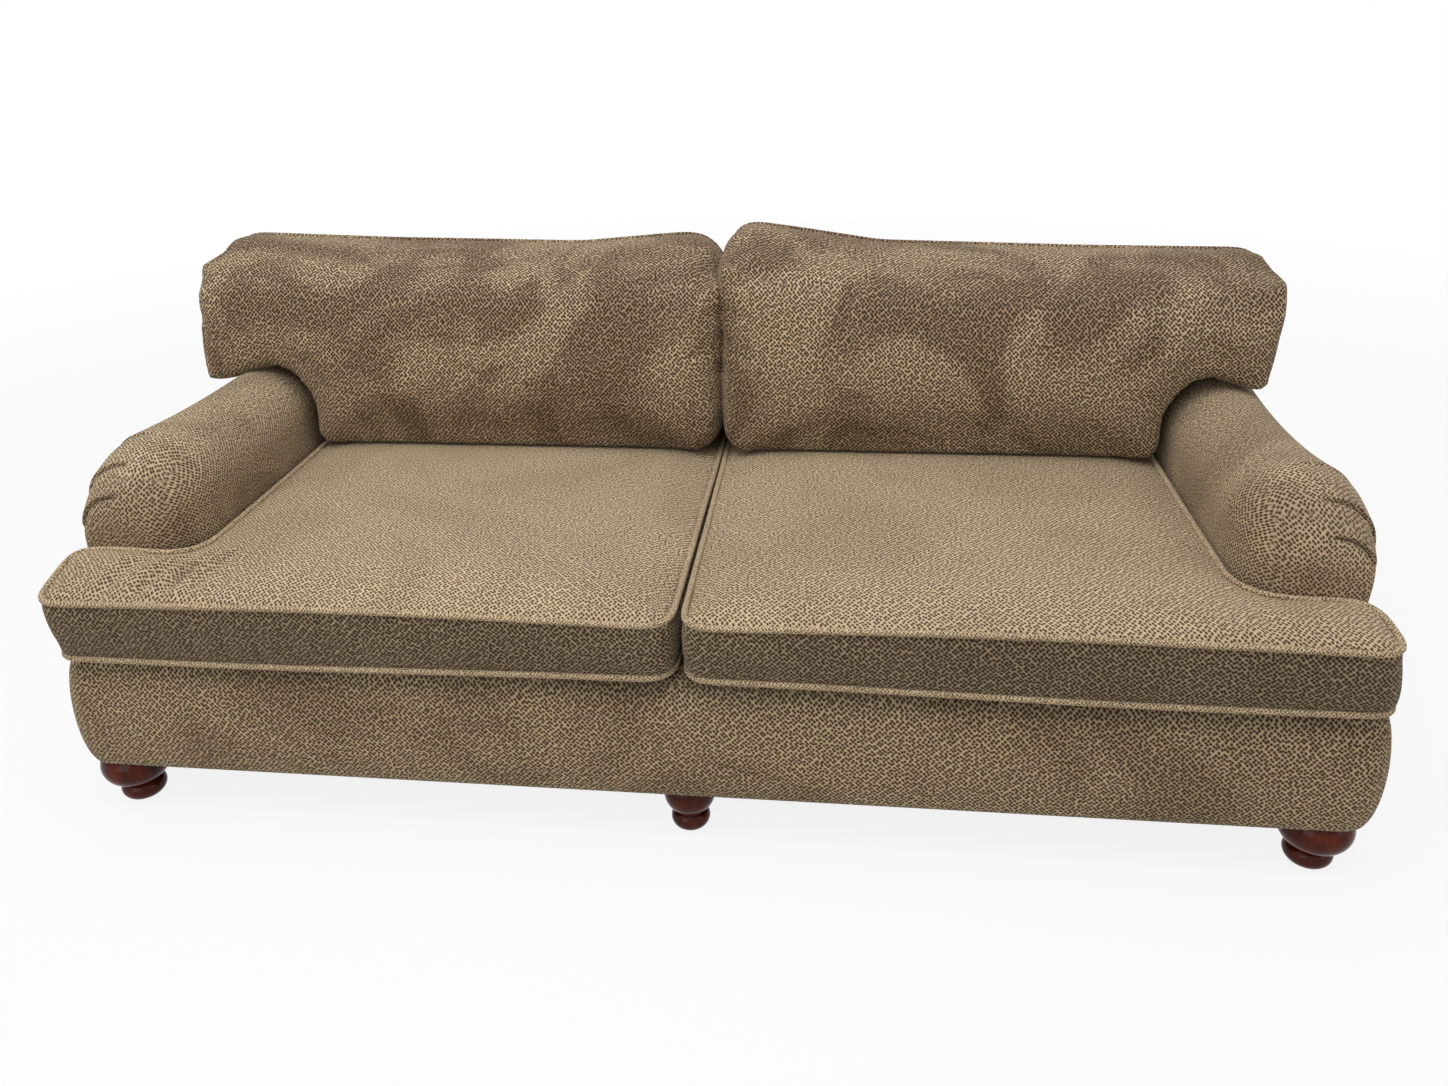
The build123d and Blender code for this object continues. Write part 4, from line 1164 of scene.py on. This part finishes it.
# %% Both backs with their welts
for hand, side in SIDES:
    cushion, outline, before, after = make_back(hand, side)
    body = f"{hand}_back_cushion"
    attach(cushion, body)
    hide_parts(f"{hand}_back_cover", f"{hand}_back_fill")
    path = back_shape(leaning(outline, np.full(len(outline), BACK_EDGE_REAR)), hand)
    path = smooth_path(follow(path, before, after))
    welt = tube(f"{hand}_back_edge_welt", path, back_cloth, np.array((0, 1.0, 0)))
    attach(welt, body)
    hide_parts(f"{hand}_back_welt")
    print("back", hand, len(cushion.data.polygons), "faces")

# %% [markdown]
# ## Finishes of the frame's own nodes
# Feet, rails, springs, bolts and the dust cover have the right shape in the CAD model. They could be rebuilt
# here, but that would only repeat it. So they stay as they are, and get a finish by their slot in the record.

# %% Finish by slot
slot_finish = {
    "brown_chenille": frame_cloth, "foam": foam, "frame_timber": timber, "foot_mahogany": mahogany,
    "spring_steel": steel, "webbing": webbing, "deck_cloth": deck_cloth, "dust_cloth": dust_cloth,
    "insert_brass": brass, "nylon": nylon,
}
for row in frame["record"]["subparts"]:
    mesh = frame["nodes"][row["node"]].data
    mesh.materials.clear()
    mesh.materials.append(slot_finish[row["material_slot"]])

# %% [markdown]
# ## Floor and light
# A wide pale floor and a pale world stand for the studio. White could come from stronger lamps, but they would
# bleach the cloth. So the floor and the world are white to the camera and to reflections only, and the floor
# keeps a soft shadow. One large lamp above the front and weaker ones from the left, the right and the rear keep
# the shades gentle.

# %% Floor
FLOOR_PAINT, FLOOR_REACH = 0.60, 40.0
NEAR_SHARE, FAR_SHARE = 0.86, 0.14


def seen_directly(start):
    """1 for rays from the camera, from a reflection or through a clear material, else 0: the largest of three."""
    seen, shine, clear = (
        start.node("ShaderNodeLightPath", output=ray)
        for ray in ("Is Camera Ray", "Is Glossy Ray", "Is Transmission Ray")
    )
    return start.maths("MAXIMUM", start.maths("MAXIMUM", seen, shine), clear)


def floor_finish(name, level):
    """Mostly white to the camera and to reflections, wholly white far away; pale paint to all other light."""
    finish = bpy.data.materials.new(name)
    finish.use_nodes = True
    tree = finish.node_tree
    tree.nodes.clear()
    start = Thread(tree)
    place = start.node("ShaderNodeTexCoord", output="Object")
    away = start.node("ShaderNodeVectorMath", {"operation": "LENGTH"}, {0: place}, output="Value")
    far = (away * 0.1).ramp((0.18, 0.0), (0.55, 1.0))
    share = seen_directly(start) * (NEAR_SHARE + far * FAR_SHARE)
    paint = start.node("ShaderNodeBsdfDiffuse", None, {"Color": (level, level, level, 1)})
    white = start.node("ShaderNodeEmission", None, {"Color": WHITE, "Strength": 1.0})
    mixed = start.node("ShaderNodeMixShader", None, {0: share, 1: paint, 2: white})
    end = tree.nodes.new("ShaderNodeOutputMaterial")
    tree.links.new(mixed.socket, end.inputs["Surface"])
    return finish


floor_corners = FLOOR_REACH * np.array(((-1, -1, 0), (1, -1, 0), (1, 1, 0), (-1, 1, 0)))
floor_paint = floor_finish("floor_paint", FLOOR_PAINT)
floor = put_mesh("studio_floor", floor_corners, [(0, 1, 2, 3)], floor_paint, smooth=False)
floor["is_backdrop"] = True
print("floor", 2 * FLOOR_REACH, "m wide")

# %% Lamps
LAMPS = (
    ("key_lamp", (-0.4, -0.9, 3.6), (0, 0, 0.4), 3.2, 135),
    ("front_lamp", (-1.6, -3.6, 1.9), (0, 0, 0.5), 2.4, 34),
    ("right_lamp", (3.6, -1.2, 2.2), (0, 0, 0.5), 2.4, 22),
    ("rear_lamp", (0.6, 4.2, 1.8), (0, 0, 0.5), 2.4, 26),
)
for name, place, target, size, power in LAMPS:
    lamp = bpy.data.objects.new(name, bpy.data.lights.new(name, "AREA"))
    scene.collection.objects.link(lamp)
    lamp.data.shape, lamp.data.size, lamp.data.energy = "SQUARE", size, power
    back = np.array(place) - np.array(target)
    back /= np.linalg.norm(back)
    right = np.cross((0, 0, 1.0), back)
    right /= np.linalg.norm(right)
    aim(lamp, right, np.cross(back, right), back, place)
print("hung", len(LAMPS), "lamps")

# %% World
SKY_LIGHT = 0.45
world = bpy.data.worlds.new("studio")
scene.world = world
world.use_nodes = True
tree = world.node_tree
background = tree.nodes["Background"]
background.inputs["Color"].default_value = WHITE
strength = SKY_LIGHT + seen_directly(Thread(tree)) * (1 - SKY_LIGHT)
tree.links.new(strength.socket, background.inputs["Strength"])
scene.view_settings.view_transform = "Standard"
print("sky light", SKY_LIGHT)

# %% [markdown]
# ## Sizes and end
# The dressed sofa has to keep the frame's size. Its visual box is printed.

# %% Print the visual box
low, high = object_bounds()
print("visual box", [round(v, 3) for v in (*low, *high)])
